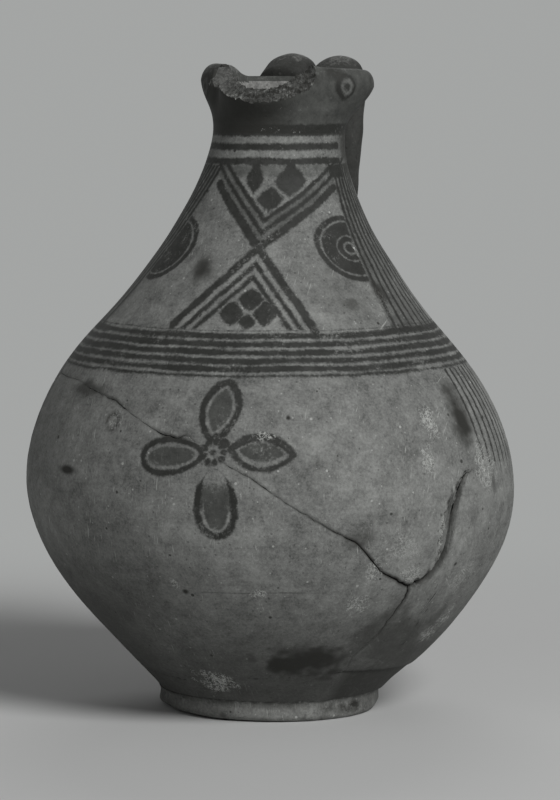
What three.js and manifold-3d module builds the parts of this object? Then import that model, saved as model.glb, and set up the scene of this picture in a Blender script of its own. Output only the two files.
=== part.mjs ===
// Mended painted jug: ring foot, egg-shaped body in five sherds, leaning neck, pinched mouth and double-coil
// handle. Millimetres, +Z up. The origin is the centre of the foot's underside, the spout points to -Y and the
// handle to +Y. A bearing is an angle in degrees around the axis, from the spout towards +X.
import * as THREE from 'three';
import { mergeVertices } from 'three/addons/utils/BufferGeometryUtils.js';
import Module from 'manifold-3d';

// Joints between pieces of clay
const LUTING_GAP = 0.3;
const BREAK_GAP = 0.4;

// Foot
const FOOT_RADIUS = 45.5;
const FOOT_HEIGHT = 9;
const FOOT_RING_WIDTH = 14;
const FOOT_EDGE = 2.5;

// Body wall
const BASE_RADIUS = 47;
const BELLY_RADIUS = 101.5;
const BELLY_RISE = 86;
const SHOULDER_RADIUS = 71.5;
const SHOULDER_RISE = 65;
const SHOULDER_SLOPE = 0.92;
const BODY_WALL = 5.5;
const FLOOR_THICKNESS = 6.5;
const FLOOR_CORNER = 1;
// How the wall's curves swing: shares of a stretch's width or rise
const BASE_FLARE = 0.64;
const BASE_CLIMB = 0.38;
const BELLY_FULLNESS_BELOW = 0.32;
const BELLY_FULLNESS_ABOVE = 0.35;
const SHOULDER_STRAIGHT_BELOW = 0.31;
const SHOULDER_STRAIGHT_ABOVE = 0.27;

// Neck
const WAIST_RADIUS = 27.5;
const NECK_RISE = 81;
const NECK_WALL = 5;
const WAIST_STRAIGHT = 0.31;
const NECK_LEAN = 6;
const NECK_LEAN_BEARING = 110;

// Mouth
const MOUTH_RISE = 27.5;
const RIM_BACK_DIP = 4.5;
const RIM_DIP_FROM = 106;
const RIM_DIP_TO = 128;
const LIP_RADIUS = 31;
const LIP_THICKNESS = 6;
const LIP_ROUND = 7;
const SPOUT_REACH = 7;
const SPOUT_WIDTH = 30;
const LOBE_REACH = 6;
const LOBE_WIDTH = 34;
const LOBE_BEARING = 100;
const PINCH_DEPTH = 3.5;
const PINCH_WIDTH = 16;
const PINCH_BEARING = 52;
// How the mouth opens out: shares of its width and of its rise
const FLARE_UPRIGHT = 0.5;
const FLARE_OUT = 0.7;
const FLARE_UP = 0.72;

// Break of the spout's lip: bearing, and how far below the rim it leaves the outer face
const SPOUT_BREAK = [
  [-47, 4.5], [-38, 7.5], [-29, 11.5], [-16, 15], [-4, 14], [12, 14.5], [33, 13.5], [42, 5],
];
const SPOUT_BREAK_SLANT = 6.5;

// Handle
const COIL_WIDTH = 17;
const COIL_THICKNESS = 14;
const COIL_GAP = 0.6;
const COIL_SPLAY = 2.7;
const FINGER_GAP = 15.5;
const HANDLE_RISE = 4;
// The coil's bends: shares of its thickness, then shares of the way out to its crown and down its back
const COIL_END_DROP = 0.4;
const COIL_BEND_DROP = 0.6;
const COIL_BEND_INSET = 0.15;
const COIL_ROOT_INSET = 0.6;
const CROWN_PLACE = 0.4;
const BACK_TOP = 0.2;
const BACK_BOTTOM = 0.7;

// Where the body broke: bearing, and share of the way up from the foot to the shoulder
const MAIN_BREAK = [
  [-55, 0.85], [-37, 0.86], [-14, 0.795], [-4, 0.752], [1, 0.748], [10, 0.693], [20, 0.625], [29, 0.54],
  [40, 0.477], [46, 0.392], [56, 0.341], [62, 0.364], [64, 0.418], [65, 0.499], [71, 0.628], [90, 0.72],
  [120, 0.68], [150, 0.76], [180, 0.8], [215, 0.74], [250, 0.82], [285, 0.79], [305, 0.85],
];
const BASE_BREAK = [
  [-60, 0.07], [-20, 0.055], [10, 0.075], [46, 0.065], [90, 0.085],
  [130, 0.06], [180, 0.08], [240, 0.06], [300, 0.07],
];
// Breaks that run up the lower wall: share of the way up, and bearing
const RIGHT_SEAM = [[0, 46], [0.08, 46.3], [0.14, 46.7], [0.2, 52], [0.31, 56.3], [0.45, 56]];
const BACK_SEAM = [[0, 178], [0.24, 183], [0.44, 177], [0.6, 186], [1, 180]];
const LEFT_SEAM = [[0, 299], [0.2, 303], [0.34, 296], [0.5, 300], [0.67, 294], [1, 298]];
const SEAM_OVERRUN = 0.2;
// Share of the way up of the spot on the axis that a break's faces fan out from
const BREAK_HUB = 0.5;

// Heights above the foot's underside
const BELLY_HEIGHT = FOOT_HEIGHT + BELLY_RISE;
const SHOULDER_HEIGHT = BELLY_HEIGHT + SHOULDER_RISE;
const WAIST_HEIGHT = SHOULDER_HEIGHT + NECK_RISE;
const RIM_HEIGHT = WAIST_HEIGHT + MOUTH_RISE;

// Cutting blocks: inner and outer distance from the axis, and a height above everything
const CUT_INSIDE = 0.8 * (WAIST_RADIUS - NECK_WALL);
const CUT_OUTSIDE = 1.4 * BELLY_RADIUS;
const CUT_TOP = 2 * RIM_HEIGHT;

// Facets
const BODY_SEGMENTS = 48;
const LOWER_WALL_STEPS = 8;
const UPPER_WALL_STEPS = 6;
const NECK_STEPS = 8;
const MOUTH_SEGMENTS = 60;
const FLARE_STEPS = 5;
const HALF_LIP_STEPS = 3;
const SECTOR_STEPS = 12;
const COIL_STEPS = 20;
const COIL_CURVE_SEGMENTS = 6;
const CURVE_SAMPLES = 40;
const MERGE_DISTANCE = 1e-4;

const { degToRad, lerp } = THREE.MathUtils;
const wasm = await Module();
wasm.setup();

// A closed three.js geometry as a solid that can be joined and cut.
function toSolid(geometry) {
  const bare = new THREE.BufferGeometry();
  bare.setAttribute('position', geometry.getAttribute('position'));
  bare.setIndex(geometry.index);
  const merged = mergeVertices(bare, MERGE_DISTANCE);
  const corners = merged.index.array;
  const kept = [];
  for (let i = 0; i < corners.length; i += 3) {
    const [a, b, c] = [corners[i], corners[i + 1], corners[i + 2]];
    if (a !== b && b !== c && c !== a) kept.push(a, b, c);
  }
  return new wasm.Manifold(new wasm.Mesh({
    numProp: 3,
    vertProperties: Float32Array.from(merged.attributes.position.array),
    triVerts: Uint32Array.from(kept),
  }));
}

function toGeometry(solid) {
  const { vertProperties, triVerts } = solid.getMesh();
  const geometry = new THREE.BufferGeometry();
  geometry.setAttribute('position', new THREE.BufferAttribute(Float32Array.from(vertProperties), 3));
  geometry.setIndex(new THREE.BufferAttribute(Uint32Array.from(triVerts), 1));
  geometry.computeVertexNormals();
  return geometry;
}

// A point at a bearing, a distance from the axis and a height.
function around(bearing, radius, height) {
  const angle = degToRad(bearing);
  return [radius * Math.sin(angle), -radius * Math.cos(angle), height];
}

// The neck was set a little to one side while wet: it leans more and more above the shoulder.
function leanOffset(height) {
  const share = Math.max(0, (height - SHOULDER_HEIGHT) / (RIM_HEIGHT - SHOULDER_HEIGHT));
  return NECK_LEAN * share * share;
}

function lean(geometry) {
  const position = geometry.getAttribute('position');
  for (let i = 0; i < position.count; i += 1) {
    const [dx, dy] = around(NECK_LEAN_BEARING, leanOffset(position.getZ(i)), 0);
    position.setXY(i, position.getX(i) + dx, position.getY(i) + dy);
  }
  return geometry;
}

// Turns a closed outline of (radius, height) points around the axis.
function thrown(outline) {
  const geometry = new THREE.LatheGeometry([...outline, outline[0]], BODY_SEGMENTS);
  return geometry.rotateX(Math.PI / 2);
}

const point = (radius, height) => new THREE.Vector2(radius, height);

// Stretch of a wall's curve, as points on its outer face and points on its inner face.
function wallFaces(curve, from, to, thickness, steps) {
  const outer = [];
  const inner = [];
  for (let i = 0; i <= steps; i += 1) {
    const at = lerp(from, to, i / steps);
    const spot = curve.getPoint(at);
    const along = curve.getTangent(at);
    outer.push(spot);
    inner.push(point(spot.x - along.y * thickness, spot.y + along.x * thickness));
  }
  return { outer, inner };
}

const WALL_START = FOOT_HEIGHT + LUTING_GAP;

const lowerWall = new THREE.CubicBezierCurve(
  point(BASE_RADIUS, WALL_START),
  point(lerp(BASE_RADIUS, BELLY_RADIUS, BASE_FLARE), lerp(WALL_START, BELLY_HEIGHT, BASE_CLIMB)),
  point(BELLY_RADIUS, lerp(BELLY_HEIGHT, WALL_START, BELLY_FULLNESS_BELOW)),
  point(BELLY_RADIUS, BELLY_HEIGHT),
);
const shoulderRunBelow = SHOULDER_STRAIGHT_BELOW * (SHOULDER_HEIGHT - BELLY_HEIGHT);
const upperWall = new THREE.CubicBezierCurve(
  point(BELLY_RADIUS, BELLY_HEIGHT),
  point(BELLY_RADIUS, lerp(BELLY_HEIGHT, SHOULDER_HEIGHT, BELLY_FULLNESS_ABOVE)),
  point(SHOULDER_RADIUS + SHOULDER_SLOPE * shoulderRunBelow, SHOULDER_HEIGHT - shoulderRunBelow),
  point(SHOULDER_RADIUS, SHOULDER_HEIGHT),
);
const shoulderRunAbove = SHOULDER_STRAIGHT_ABOVE * (WAIST_HEIGHT - SHOULDER_HEIGHT);
const neckWall = new THREE.CubicBezierCurve(
  point(SHOULDER_RADIUS, SHOULDER_HEIGHT),
  point(SHOULDER_RADIUS - SHOULDER_SLOPE * shoulderRunAbove, SHOULDER_HEIGHT + shoulderRunAbove),
  point(WAIST_RADIUS, lerp(WAIST_HEIGHT, SHOULDER_HEIGHT, WAIST_STRAIGHT)),
  point(WAIST_RADIUS, WAIST_HEIGHT),
);
const jointShare = (curve) => LUTING_GAP / 2 / curve.getLength();

// The whole body as thrown, before it broke.
function bodyWall() {
  const lower = wallFaces(lowerWall, 0, 1, BODY_WALL, LOWER_WALL_STEPS);
  const upper = wallFaces(upperWall, 0, 1 - jointShare(upperWall), BODY_WALL, UPPER_WALL_STEPS);
  const floorTop = WALL_START + FLOOR_THICKNESS;
  const innerFace = [...lower.inner.slice(0, -1), ...upper.inner];
  return toSolid(thrown([
    point(0, WALL_START),
    ...lower.outer.slice(0, -1),
    ...upper.outer,
    ...innerFace.filter((spot) => spot.y > floorTop + FLOOR_CORNER).reverse(),
    point(BASE_RADIUS - BODY_WALL, floorTop),
    point(0, floorTop),
  ]));
}

// Cutting block between an inner and an outer cylinder. The spot function gives the bearing and height of
// a corner from the share along the block, the row and whether it is the outer side.
function cuttingBlock(steps, rows, closed, spot) {
  const positions = [];
  const columns = closed ? steps : steps + 1;
  for (let i = 0; i < columns; i += 1) {
    for (let row = 0; row < rows; row += 1) {
      for (const outside of [false, true]) {
        const { bearing, height } = spot(i / steps, row, outside);
        positions.push(...around(bearing, outside ? CUT_OUTSIDE : CUT_INSIDE, height));
      }
    }
  }
  const corner = (i, row, side) => ((i % columns) * rows + row) * 2 + side;
  const faces = [];
  const quad = (a, b, c, d) => faces.push(a, b, c, a, c, d);
  const last = rows - 1;
  for (let i = 0; i < steps; i += 1) {
    const j = i + 1;
    for (let row = 0; row < last; row += 1) {
      quad(corner(i, row, 1), corner(j, row, 1), corner(j, row + 1, 1), corner(i, row + 1, 1));
      quad(corner(i, row, 0), corner(i, row + 1, 0), corner(j, row + 1, 0), corner(j, row, 0));
    }
    quad(corner(i, 0, 0), corner(j, 0, 0), corner(j, 0, 1), corner(i, 0, 1));
    quad(corner(i, last, 0), corner(i, last, 1), corner(j, last, 1), corner(j, last, 0));
  }
  for (let row = 0; row < last && !closed; row += 1) {
    quad(corner(0, row, 0), corner(0, row, 1), corner(0, row + 1, 1), corner(0, row + 1, 0));
    quad(corner(steps, row, 0), corner(steps, row + 1, 0), corner(steps, row + 1, 1), corner(steps, row, 1));
  }
  const geometry = new THREE.BufferGeometry();
  geometry.setAttribute('position', new THREE.Float32BufferAttribute(positions, 3));
  geometry.setIndex(faces);
  return toSolid(geometry);
}

// Straight-line reading of a list of [place, value] pairs.
function readAt(pairs, place) {
  const next = pairs.findIndex(([start]) => start > place);
  if (next <= 0) return next === 0 ? pairs[0][1] : pairs.at(-1)[1];
  const [from, value] = pairs[next - 1];
  const [to, following] = pairs[next];
  return lerp(value, following, (place - from) / (to - from));
}

const shareToHeight = (share) => lerp(FOOT_HEIGHT, SHOULDER_HEIGHT, share);

// Height of a break that goes all the way round.
function breakHeight(pairs, bearing) {
  const start = pairs[0][0];
  const wrapped = start + ((((bearing - start) % 360) + 360) % 360);
  return shareToHeight(readAt([...pairs, [start + 360, pairs[0][1]]], wrapped));
}

// Outer radius of the body at a height.
const wallSpots = [...lowerWall.getPoints(CURVE_SAMPLES), ...upperWall.getPoints(CURVE_SAMPLES).slice(1)];
const wallProfile = wallSpots.map((spot) => [spot.y, spot.x]);
const wallRadius = (height) => readAt(wallProfile, height);

// The faces of a break that goes all the way round, raised by an amount. They fan out from the axis, and all
// breaks turn at the same bearings, so that the two faces of a break match.
const turns = [...MAIN_BREAK, ...BASE_BREAK].map(([bearing]) => (bearing + 360) % 360);
const breakBearings = [...new Set(turns)].sort((a, b) => a - b);

function breakFan(pairs, raised) {
  const hub = shareToHeight(BREAK_HUB);
  const rim = breakBearings.map((bearing) => {
    const height = breakHeight(pairs, bearing);
    const reach = CUT_OUTSIDE / wallRadius(height);
    return around(bearing, CUT_OUTSIDE, lerp(hub, height, reach) + raised);
  });
  return [around(0, 0, hub + raised), ...rim];
}

// Everything around the axis between two breaks.
function zone(bottom, top) {
  const count = breakBearings.length;
  const faces = [];
  for (let i = 1; i <= count; i += 1) {
    const j = (i % count) + 1;
    const [low, lowNext] = [i, j];
    const [high, highNext] = [count + 1 + i, count + 1 + j];
    faces.push(0, lowNext, low, count + 1, high, highNext);
    faces.push(low, lowNext, highNext, low, highNext, high);
  }
  const geometry = new THREE.BufferGeometry();
  geometry.setAttribute('position', new THREE.Float32BufferAttribute([...bottom, ...top].flat(), 3));
  geometry.setIndex(faces);
  return toSolid(geometry);
}

// Everything between two breaks that run up the wall.
const seamShares = [...RIGHT_SEAM, ...BACK_SEAM, ...LEFT_SEAM].map(([share]) => share);
const seamRows = [...new Set([-SEAM_OVERRUN, ...seamShares, 1 + SEAM_OVERRUN])].sort((a, b) => a - b);

function sector(fromSeam, toSeam, turn) {
  const trim = THREE.MathUtils.radToDeg(BREAK_GAP / 2 / BELLY_RADIUS);
  return cuttingBlock(SECTOR_STEPS, seamRows.length, false, (share, row) => {
    const from = readAt(fromSeam, seamRows[row]) + trim;
    const to = readAt(toSeam, seamRows[row]) + turn - trim;
    return { bearing: lerp(from, to, share), height: shareToHeight(seamRows[row]) };
  });
}

function bodySherds() {
  const wall = bodyWall();
  const half = BREAK_GAP / 2;
  const above = breakFan(MAIN_BREAK, CUT_TOP);
  const lowerSherds = wall.intersect(zone(breakFan(BASE_BREAK, half), breakFan(MAIN_BREAK, -half)));
  return {
    base_sherd: wall.subtract(zone(breakFan(BASE_BREAK, -half), above)),
    front_wall_sherd: lowerSherds.intersect(sector(LEFT_SEAM, RIGHT_SEAM, 360)),
    right_wall_sherd: lowerSherds.intersect(sector(RIGHT_SEAM, BACK_SEAM, 0)),
    left_wall_sherd: lowerSherds.intersect(sector(BACK_SEAM, LEFT_SEAM, 0)),
    shoulder_sherd: wall.intersect(zone(breakFan(MAIN_BREAK, half), above)),
  };
}

function footRing() {
  const inner = FOOT_RADIUS - FOOT_RING_WIDTH;
  return toSolid(thrown([
    point(inner, 0),
    point(FOOT_RADIUS - FOOT_EDGE, 0),
    point(FOOT_RADIUS, FOOT_HEIGHT / 2),
    point(FOOT_RADIUS - FOOT_EDGE / 2, FOOT_HEIGHT),
    point(inner - FOOT_EDGE, FOOT_HEIGHT),
  ]));
}

function neckCone() {
  const gap = jointShare(neckWall);
  const { outer, inner } = wallFaces(neckWall, gap, 1 - gap, NECK_WALL, NECK_STEPS);
  return toSolid(lean(thrown([...outer, ...inner.reverse()])));
}

// How far a bearing is into a bump of the lip, from 0 to 1.
function bump(bearing, centre, width) {
  const apart = ((((bearing - centre + 180) % 360) + 360) % 360) - 180;
  return Math.exp(-((apart / width) ** 2));
}

const bothSides = (bearing, centre, width) => bump(bearing, centre, width) + bump(bearing, -centre, width);

function lipRadius(bearing) {
  return LIP_RADIUS
    + SPOUT_REACH * bump(bearing, 0, SPOUT_WIDTH)
    + LOBE_REACH * bothSides(bearing, LOBE_BEARING, LOBE_WIDTH)
    - PINCH_DEPTH * bothSides(bearing, PINCH_BEARING, PINCH_WIDTH);
}

function rimHeight(bearing) {
  const fromSpout = Math.abs(((bearing + 180) % 360) - 180);
  return RIM_HEIGHT - RIM_BACK_DIP * THREE.MathUtils.smoothstep(fromSpout, RIM_DIP_FROM, RIM_DIP_TO);
}

// The mouth's wall at a bearing, grown outwards by an amount: outer face with the lip's top, and inner face.
function mouthFaces(bearing, grown) {
  const reach = lipRadius(bearing) + grown;
  const lipStart = rimHeight(bearing) + grown - LIP_ROUND;
  const bottom = WAIST_HEIGHT + LUTING_GAP / 2 - grown;
  const flare = (foot, head) => new THREE.CubicBezierCurve(
    point(foot, bottom),
    point(foot, lerp(bottom, lipStart, FLARE_UPRIGHT)),
    point(lerp(foot, head, FLARE_OUT), lerp(bottom, lipStart, FLARE_UP)),
    point(head, lipStart),
  ).getPoints(FLARE_STEPS);
  const lip = new THREE.EllipseCurve(
    reach - LIP_THICKNESS / 2, lipStart, LIP_THICKNESS / 2, LIP_ROUND, 0, Math.PI,
  ).getPoints(2 * HALF_LIP_STEPS);
  const innerLip = HALF_LIP_STEPS + 1;
  return {
    outer: [...flare(WAIST_RADIUS + grown, reach), ...lip.slice(1, innerLip)],
    inner: [...lip.slice(innerLip, -1), ...flare(WAIST_RADIUS - NECK_WALL, reach - LIP_THICKNESS).reverse()],
  };
}

// A closed outline that changes with the bearing, carried around the axis.
function carriedAround(outlineAt) {
  const positions = [];
  const faces = [];
  const size = outlineAt(0).length;
  for (let i = 0; i < MOUTH_SEGMENTS; i += 1) {
    const bearing = (i / MOUTH_SEGMENTS) * 360;
    outlineAt(bearing).forEach((spot) => positions.push(...around(bearing, spot.x, spot.y)));
    const next = (i + 1) % MOUTH_SEGMENTS;
    for (let k = 0; k < size; k += 1) {
      const after = (k + 1) % size;
      const [a, b, c, d] = [i * size + k, next * size + k, next * size + after, i * size + after];
      faces.push(a, b, c, a, c, d);
    }
  }
  const geometry = new THREE.BufferGeometry();
  geometry.setAttribute('position', new THREE.Float32BufferAttribute(positions, 3));
  geometry.setIndex(faces);
  return geometry;
}

// What broke off the spout: a slanting cut that takes more of the outer face than of the inner one.
function lostLip() {
  const steps = SPOUT_BREAK.length - 1;
  const slope = SPOUT_BREAK_SLANT / LIP_THICKNESS;
  return cuttingBlock(steps, 2, false, (share, row, outside) => {
    const [bearing, drop] = SPOUT_BREAK[Math.round(share * steps)];
    const beyondLip = (outside ? CUT_OUTSIDE : CUT_INSIDE) - LIP_RADIUS;
    return { bearing, height: row === 0 ? RIM_HEIGHT - drop - slope * beyondLip : CUT_TOP };
  });
}

function pinchedMouth() {
  const wall = carriedAround((bearing) => {
    const { outer, inner } = mouthFaces(bearing, 0);
    return [...outer, ...inner];
  });
  return toSolid(lean(toGeometry(toSolid(wall).subtract(lostLip()))));
}

// Room that the neck and mouth take up, filled in and grown by the luting gap.
function neckRoom() {
  const neck = wallFaces(neckWall, 0, 1, -LUTING_GAP, NECK_STEPS).inner;
  const filledNeck = thrown([point(0, SHOULDER_HEIGHT), ...neck, point(0, WAIST_HEIGHT)]);
  const filledMouth = carriedAround((bearing) => {
    const { outer } = mouthFaces(bearing, LUTING_GAP);
    return [point(0, WAIST_HEIGHT - LUTING_GAP), ...outer, point(0, RIM_HEIGHT)];
  });
  return toSolid(lean(filledNeck)).add(toSolid(lean(filledMouth)));
}

// One rolled coil, from the back of the rim over the finger gap and down to the neck. The side is -1 or 1.
function handleCoil(side) {
  const reach = WAIST_RADIUS + FINGER_GAP + COIL_THICKNESS / 2;
  const spread = (COIL_WIDTH + COIL_GAP) / 2;
  const rimSpread = spread + COIL_SPLAY;
  const crown = RIM_HEIGHT + HANDLE_RISE - COIL_THICKNESS / 2;
  const rimRadius = lipRadius(180);
  const root = neckWall.getPoints(CURVE_SAMPLES).find((spot) => spot.x < reach).y;
  const endDrop = COIL_END_DROP * COIL_THICKNESS;
  const bend = [reach - COIL_BEND_INSET * COIL_THICKNESS, crown - COIL_BEND_DROP * COIL_THICKNESS];
  const path = new THREE.CatmullRomCurve3([
    new THREE.Vector3(side * rimSpread, rimRadius - LIP_THICKNESS, crown - endDrop),
    new THREE.Vector3(side * rimSpread, lerp(rimRadius, reach, CROWN_PLACE), crown),
    new THREE.Vector3(side * lerp(spread, rimSpread, CROWN_PLACE), ...bend),
    new THREE.Vector3(side * spread, reach, lerp(WAIST_HEIGHT, root, BACK_TOP)),
    new THREE.Vector3(side * spread, reach, lerp(WAIST_HEIGHT, root, BACK_BOTTOM)),
    new THREE.Vector3(side * spread, reach - COIL_ROOT_INSET * COIL_THICKNESS, root - endDrop),
  ]);
  const section = new THREE.Shape().absellipse(0, 0, COIL_WIDTH / 2, COIL_THICKNESS / 2, 0, 2 * Math.PI);
  const coil = new THREE.ExtrudeGeometry(section, {
    steps: COIL_STEPS, curveSegments: COIL_CURVE_SEGMENTS, bevelEnabled: false, extrudePath: path,
  });
  return toSolid(lean(coil)).subtract(neckRoom());
}

const CLAY = { color: 0xb4aca2, roughness: 0.8, metalness: 0 };
const DARK_CLAY = { color: 0x4a4440, roughness: 0.72, metalness: 0 };
const FOOT_CLAY = { color: 0xa0988e, roughness: 0.86, metalness: 0 };

function piece(name, solid, finish) {
  const mesh = new THREE.Mesh(toGeometry(solid), new THREE.MeshStandardMaterial(finish));
  mesh.name = name;
  return mesh;
}

const jug = new THREE.Group();
jug.add(piece('foot_ring', footRing(), FOOT_CLAY));
for (const [name, solid] of Object.entries(bodySherds())) {
  jug.add(piece(name, solid, CLAY));
}
jug.add(piece('neck_cone', neckCone(), CLAY));
jug.add(piece('pinched_mouth', pinchedMouth(), CLAY));
jug.add(piece('handle_coil_left', handleCoil(-1), DARK_CLAY));
jug.add(piece('handle_coil_right', handleCoil(1), DARK_CLAY));

export default jug;
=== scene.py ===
"""Mended painted clay jug: ring foot, body of five sherds, leaning neck, pinched mouth, two-coil handle."""
import bisect
import functools
import math

import bpy
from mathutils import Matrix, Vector, noise


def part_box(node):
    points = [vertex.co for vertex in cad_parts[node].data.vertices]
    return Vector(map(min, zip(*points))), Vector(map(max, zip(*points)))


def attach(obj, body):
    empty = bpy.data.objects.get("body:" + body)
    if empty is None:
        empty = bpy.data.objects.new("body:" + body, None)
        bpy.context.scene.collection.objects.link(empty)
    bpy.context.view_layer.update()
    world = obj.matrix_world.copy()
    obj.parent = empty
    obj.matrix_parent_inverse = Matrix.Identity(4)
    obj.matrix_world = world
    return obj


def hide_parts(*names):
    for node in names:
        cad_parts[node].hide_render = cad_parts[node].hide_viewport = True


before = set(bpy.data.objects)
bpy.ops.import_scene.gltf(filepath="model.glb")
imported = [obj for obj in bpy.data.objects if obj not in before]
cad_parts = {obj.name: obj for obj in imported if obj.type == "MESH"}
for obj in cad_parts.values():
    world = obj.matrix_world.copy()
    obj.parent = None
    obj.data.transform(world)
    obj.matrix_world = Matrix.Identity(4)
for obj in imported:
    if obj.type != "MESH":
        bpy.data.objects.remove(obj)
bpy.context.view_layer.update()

# Foot ring
# A low ring of clay, thrown by itself and luted under the floor of the jug, its joint smoothed to a hollow.
# Its lower edge is rubbed round and dented, and paler than the wall, because the jug has long stood on it.
MILLIMETRE = 0.001
FOOT_RADIUS = 45.5
FOOT_INSIDE = 31.5
FOOT_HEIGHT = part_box("foot_ring")[1].z / MILLIMETRE
FOOT_INNER_ROUNDING = 1.5
FOOT_ROUNDING = 2.4
FOOT_HOLLOW = 5
FOOT_HOLLOW_ANGLE = 50
FOOT_COLUMNS = 260
FOOT_LUMP, FOOT_LUMP_LENGTH = 0.7, 16
FOOT_DENT, FOOT_DENT_LENGTH = 1.1, 21
FOOT_LIFT, FOOT_LOW_BEARING = 1.6, 80
FOOT_PATCH, FOOT_PATCH_LENGTH = 1.7, 11
FOOT_BULGES = [(-70, 60, 1.8), (55, 40, 1.2)]
FOOT_SOIL = [(-62, 45, 0.6), (84, 32, 0.5)]
FOOT_RELIEF = 0.3
FOOT_SMOOTHING, SHERD_SMOOTHING = 40, 35
MERGE_DISTANCE = 1e-5
CLAY_GLOSS = 0.3
FOOT_TONE = (0.19, 0.193, 0.184, 1)
# Dark colour for soil, grit and pits, and for painted shade.
SOIL_AND_SHADE_TONE = (0.026, 0.026, 0.023, 1)
LIME_TONE = (0.42, 0.43, 0.41, 1)


def added(name, operator, **options):
    """Adds one object by itself and names it."""
    bpy.ops.object.select_all(action="DESELECT")
    operator(**options)
    piece = bpy.context.active_object
    piece.name = name
    piece.data.name = name
    return piece


def tube(name, columns, rows):
    """An upright tube of clay, one unit in radius and height, open at both ends, to be pressed to shape."""
    piece = added(
        name,
        bpy.ops.mesh.primitive_cylinder_add,
        vertices=columns,
        radius=1,
        depth=1,
        end_fill_type="NOTHING",
        location=(0, 0, 0.5),
    )
    bpy.ops.object.transform_apply(location=True)
    bpy.ops.object.mode_set(mode="EDIT")
    bpy.ops.mesh.select_mode(type="EDGE")
    bpy.ops.mesh.select_all(action="DESELECT")
    bpy.ops.object.mode_set(mode="OBJECT")
    for edge in piece.data.edges:
        low, high = (piece.data.vertices[corner].co.z for corner in edge.vertices)
        edge.select = abs(high - low) > 0.5
    bpy.ops.object.mode_set(mode="EDIT")
    bpy.ops.mesh.subdivide(number_cuts=rows - 1)
    bpy.ops.object.mode_set(mode="OBJECT")
    return piece


def spot(bearing, radius, height):
    """A point at a bearing in degrees from the spout, a distance from the axis and a height, in one unit."""
    angle = math.radians(bearing)
    return Vector((radius * math.sin(angle), -radius * math.cos(angle), height))


def pressed(piece, shape):
    """Moves each corner of a tube, at a bearing and a share of the height, to where shape puts it, and keeps
    the wear, soil and painted shade that shape gives it.
    """
    wear_and_shading = piece.data.attributes.new("wear_and_shading", "FLOAT", "POINT")
    for corner in piece.data.vertices:
        bearing = math.degrees(math.atan2(corner.co.x, -corner.co.y))
        place, worn = shape(bearing, min(max(corner.co.z, 0), 1))
        corner.co = place * MILLIMETRE
        wear_and_shading.data[corner.index].value = worn
    piece.data.update()


def picked(piece):
    """Selects one piece alone and makes it the active one."""
    bpy.ops.object.select_all(action="DESELECT")
    piece.select_set(True)
    bpy.context.view_layer.objects.active = piece


def edit(piece, *steps):
    """Runs mesh operators on the whole of a piece."""
    picked(piece)
    bpy.ops.object.mode_set(mode="EDIT")
    bpy.ops.mesh.select_mode(type="VERT")
    bpy.ops.mesh.select_all(action="SELECT")
    for step, options in steps:
        step(**options)
    bpy.ops.object.mode_set(mode="OBJECT")


def coated(piece, *finishes):
    for finish in finishes:
        piece.data.materials.append(finish)


def finished(piece, node, angle=SHERD_SMOOTHING):
    """Smooths a piece where it bends by less than an angle, and sets it in place of its solid."""
    picked(piece)
    bpy.ops.object.shade_smooth_by_angle(angle=math.radians(angle))
    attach(piece, "root")
    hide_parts(node)


def arc(centre, radius, start, end, steps):
    """Points of an arc in a section, between two angles in degrees."""
    angles = [math.radians(start + (end - start) * step / steps) for step in range(steps + 1)]
    return [(centre[0] + radius * math.cos(angle), centre[1] + radius * math.sin(angle)) for angle in angles]


def soft_step(value, start, end):
    """0 at start and 1 at end, with a soft change between them."""
    share = min(max((value - start) / (end - start), 0), 1)
    return share * share * (3 - 2 * share)


def bell(away, width):
    """1 in the middle, falling softly to 0 at both sides."""
    return math.exp(-((away / width) ** 2))


def bump(bearing, centre, width):
    """A bell around a bearing."""
    return bell((bearing - centre + 180) % 360 - 180, width)


class Field:
    """A number that varies over a surface, held by a node's socket. Arithmetic on it adds Math nodes."""

    def __init__(self, tree, socket):
        self.tree = tree
        self.socket = socket

    def math(self, operation, *others, clamp=False):
        node = self.tree.nodes.new("ShaderNodeMath")
        node.operation = operation
        node.use_clamp = clamp
        for entry, value in zip(node.inputs, (self, *others)):
            feed(self.tree, value, entry)
        return Field(self.tree, node.outputs[0])

    def __add__(self, other):
        return self.math("ADD", other)

    def __sub__(self, other):
        return self.math("SUBTRACT", other)

    def __mul__(self, other):
        return self.math("MULTIPLY", other)

    def __truediv__(self, other):
        return self.math("DIVIDE", other)

    def __neg__(self):
        return self * -1

    def __abs__(self):
        return self.math("ABSOLUTE")

    def least(self, other):
        return self.math("MINIMUM", other)

    def most(self, other):
        return self.math("MAXIMUM", other)

    def times_plus(self, factor, addend):
        return self.math("MULTIPLY_ADD", factor, addend)

    def length_with(self, other):
        return self.times_plus(self, other * other).math("SQRT")

    def fade(self, start, end):
        """0 at start and 1 at end, with a soft change between them."""
        limits = {"From Min": start, "From Max": end}
        node = fed(self.tree, "ShaderNodeMapRange", Value=self, **limits)
        node.interpolation_type = "SMOOTHSTEP"
        return Field(self.tree, node.outputs["Result"])


def feed(tree, value, entry):
    """Links a field or socket to a node's entry, or sets a plain value on it."""
    if isinstance(value, Field):
        tree.links.new(value.socket, entry)
    elif isinstance(value, bpy.types.NodeSocket):
        tree.links.new(value, entry)
    else:
        entry.default_value = value


def fed(tree, kind, **values):
    """A new node of a kind, with its inputs fed."""
    node = tree.nodes.new(kind)
    for label, value in values.items():
        feed(tree, value, node.inputs[label])
    return node


def effect(name, entries, exits):
    """An empty group of shader nodes with its named inputs and outputs."""
    tree = bpy.data.node_groups.new(name, "ShaderNodeTree")
    for side, sockets in (("INPUT", entries), ("OUTPUT", exits)):
        for label, kind in sockets.items():
            tree.interface.new_socket(label, in_out=side, socket_type="NodeSocket" + kind)
    return tree, tree.nodes.new("NodeGroupInput").outputs, tree.nodes.new("NodeGroupOutput").inputs


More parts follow.
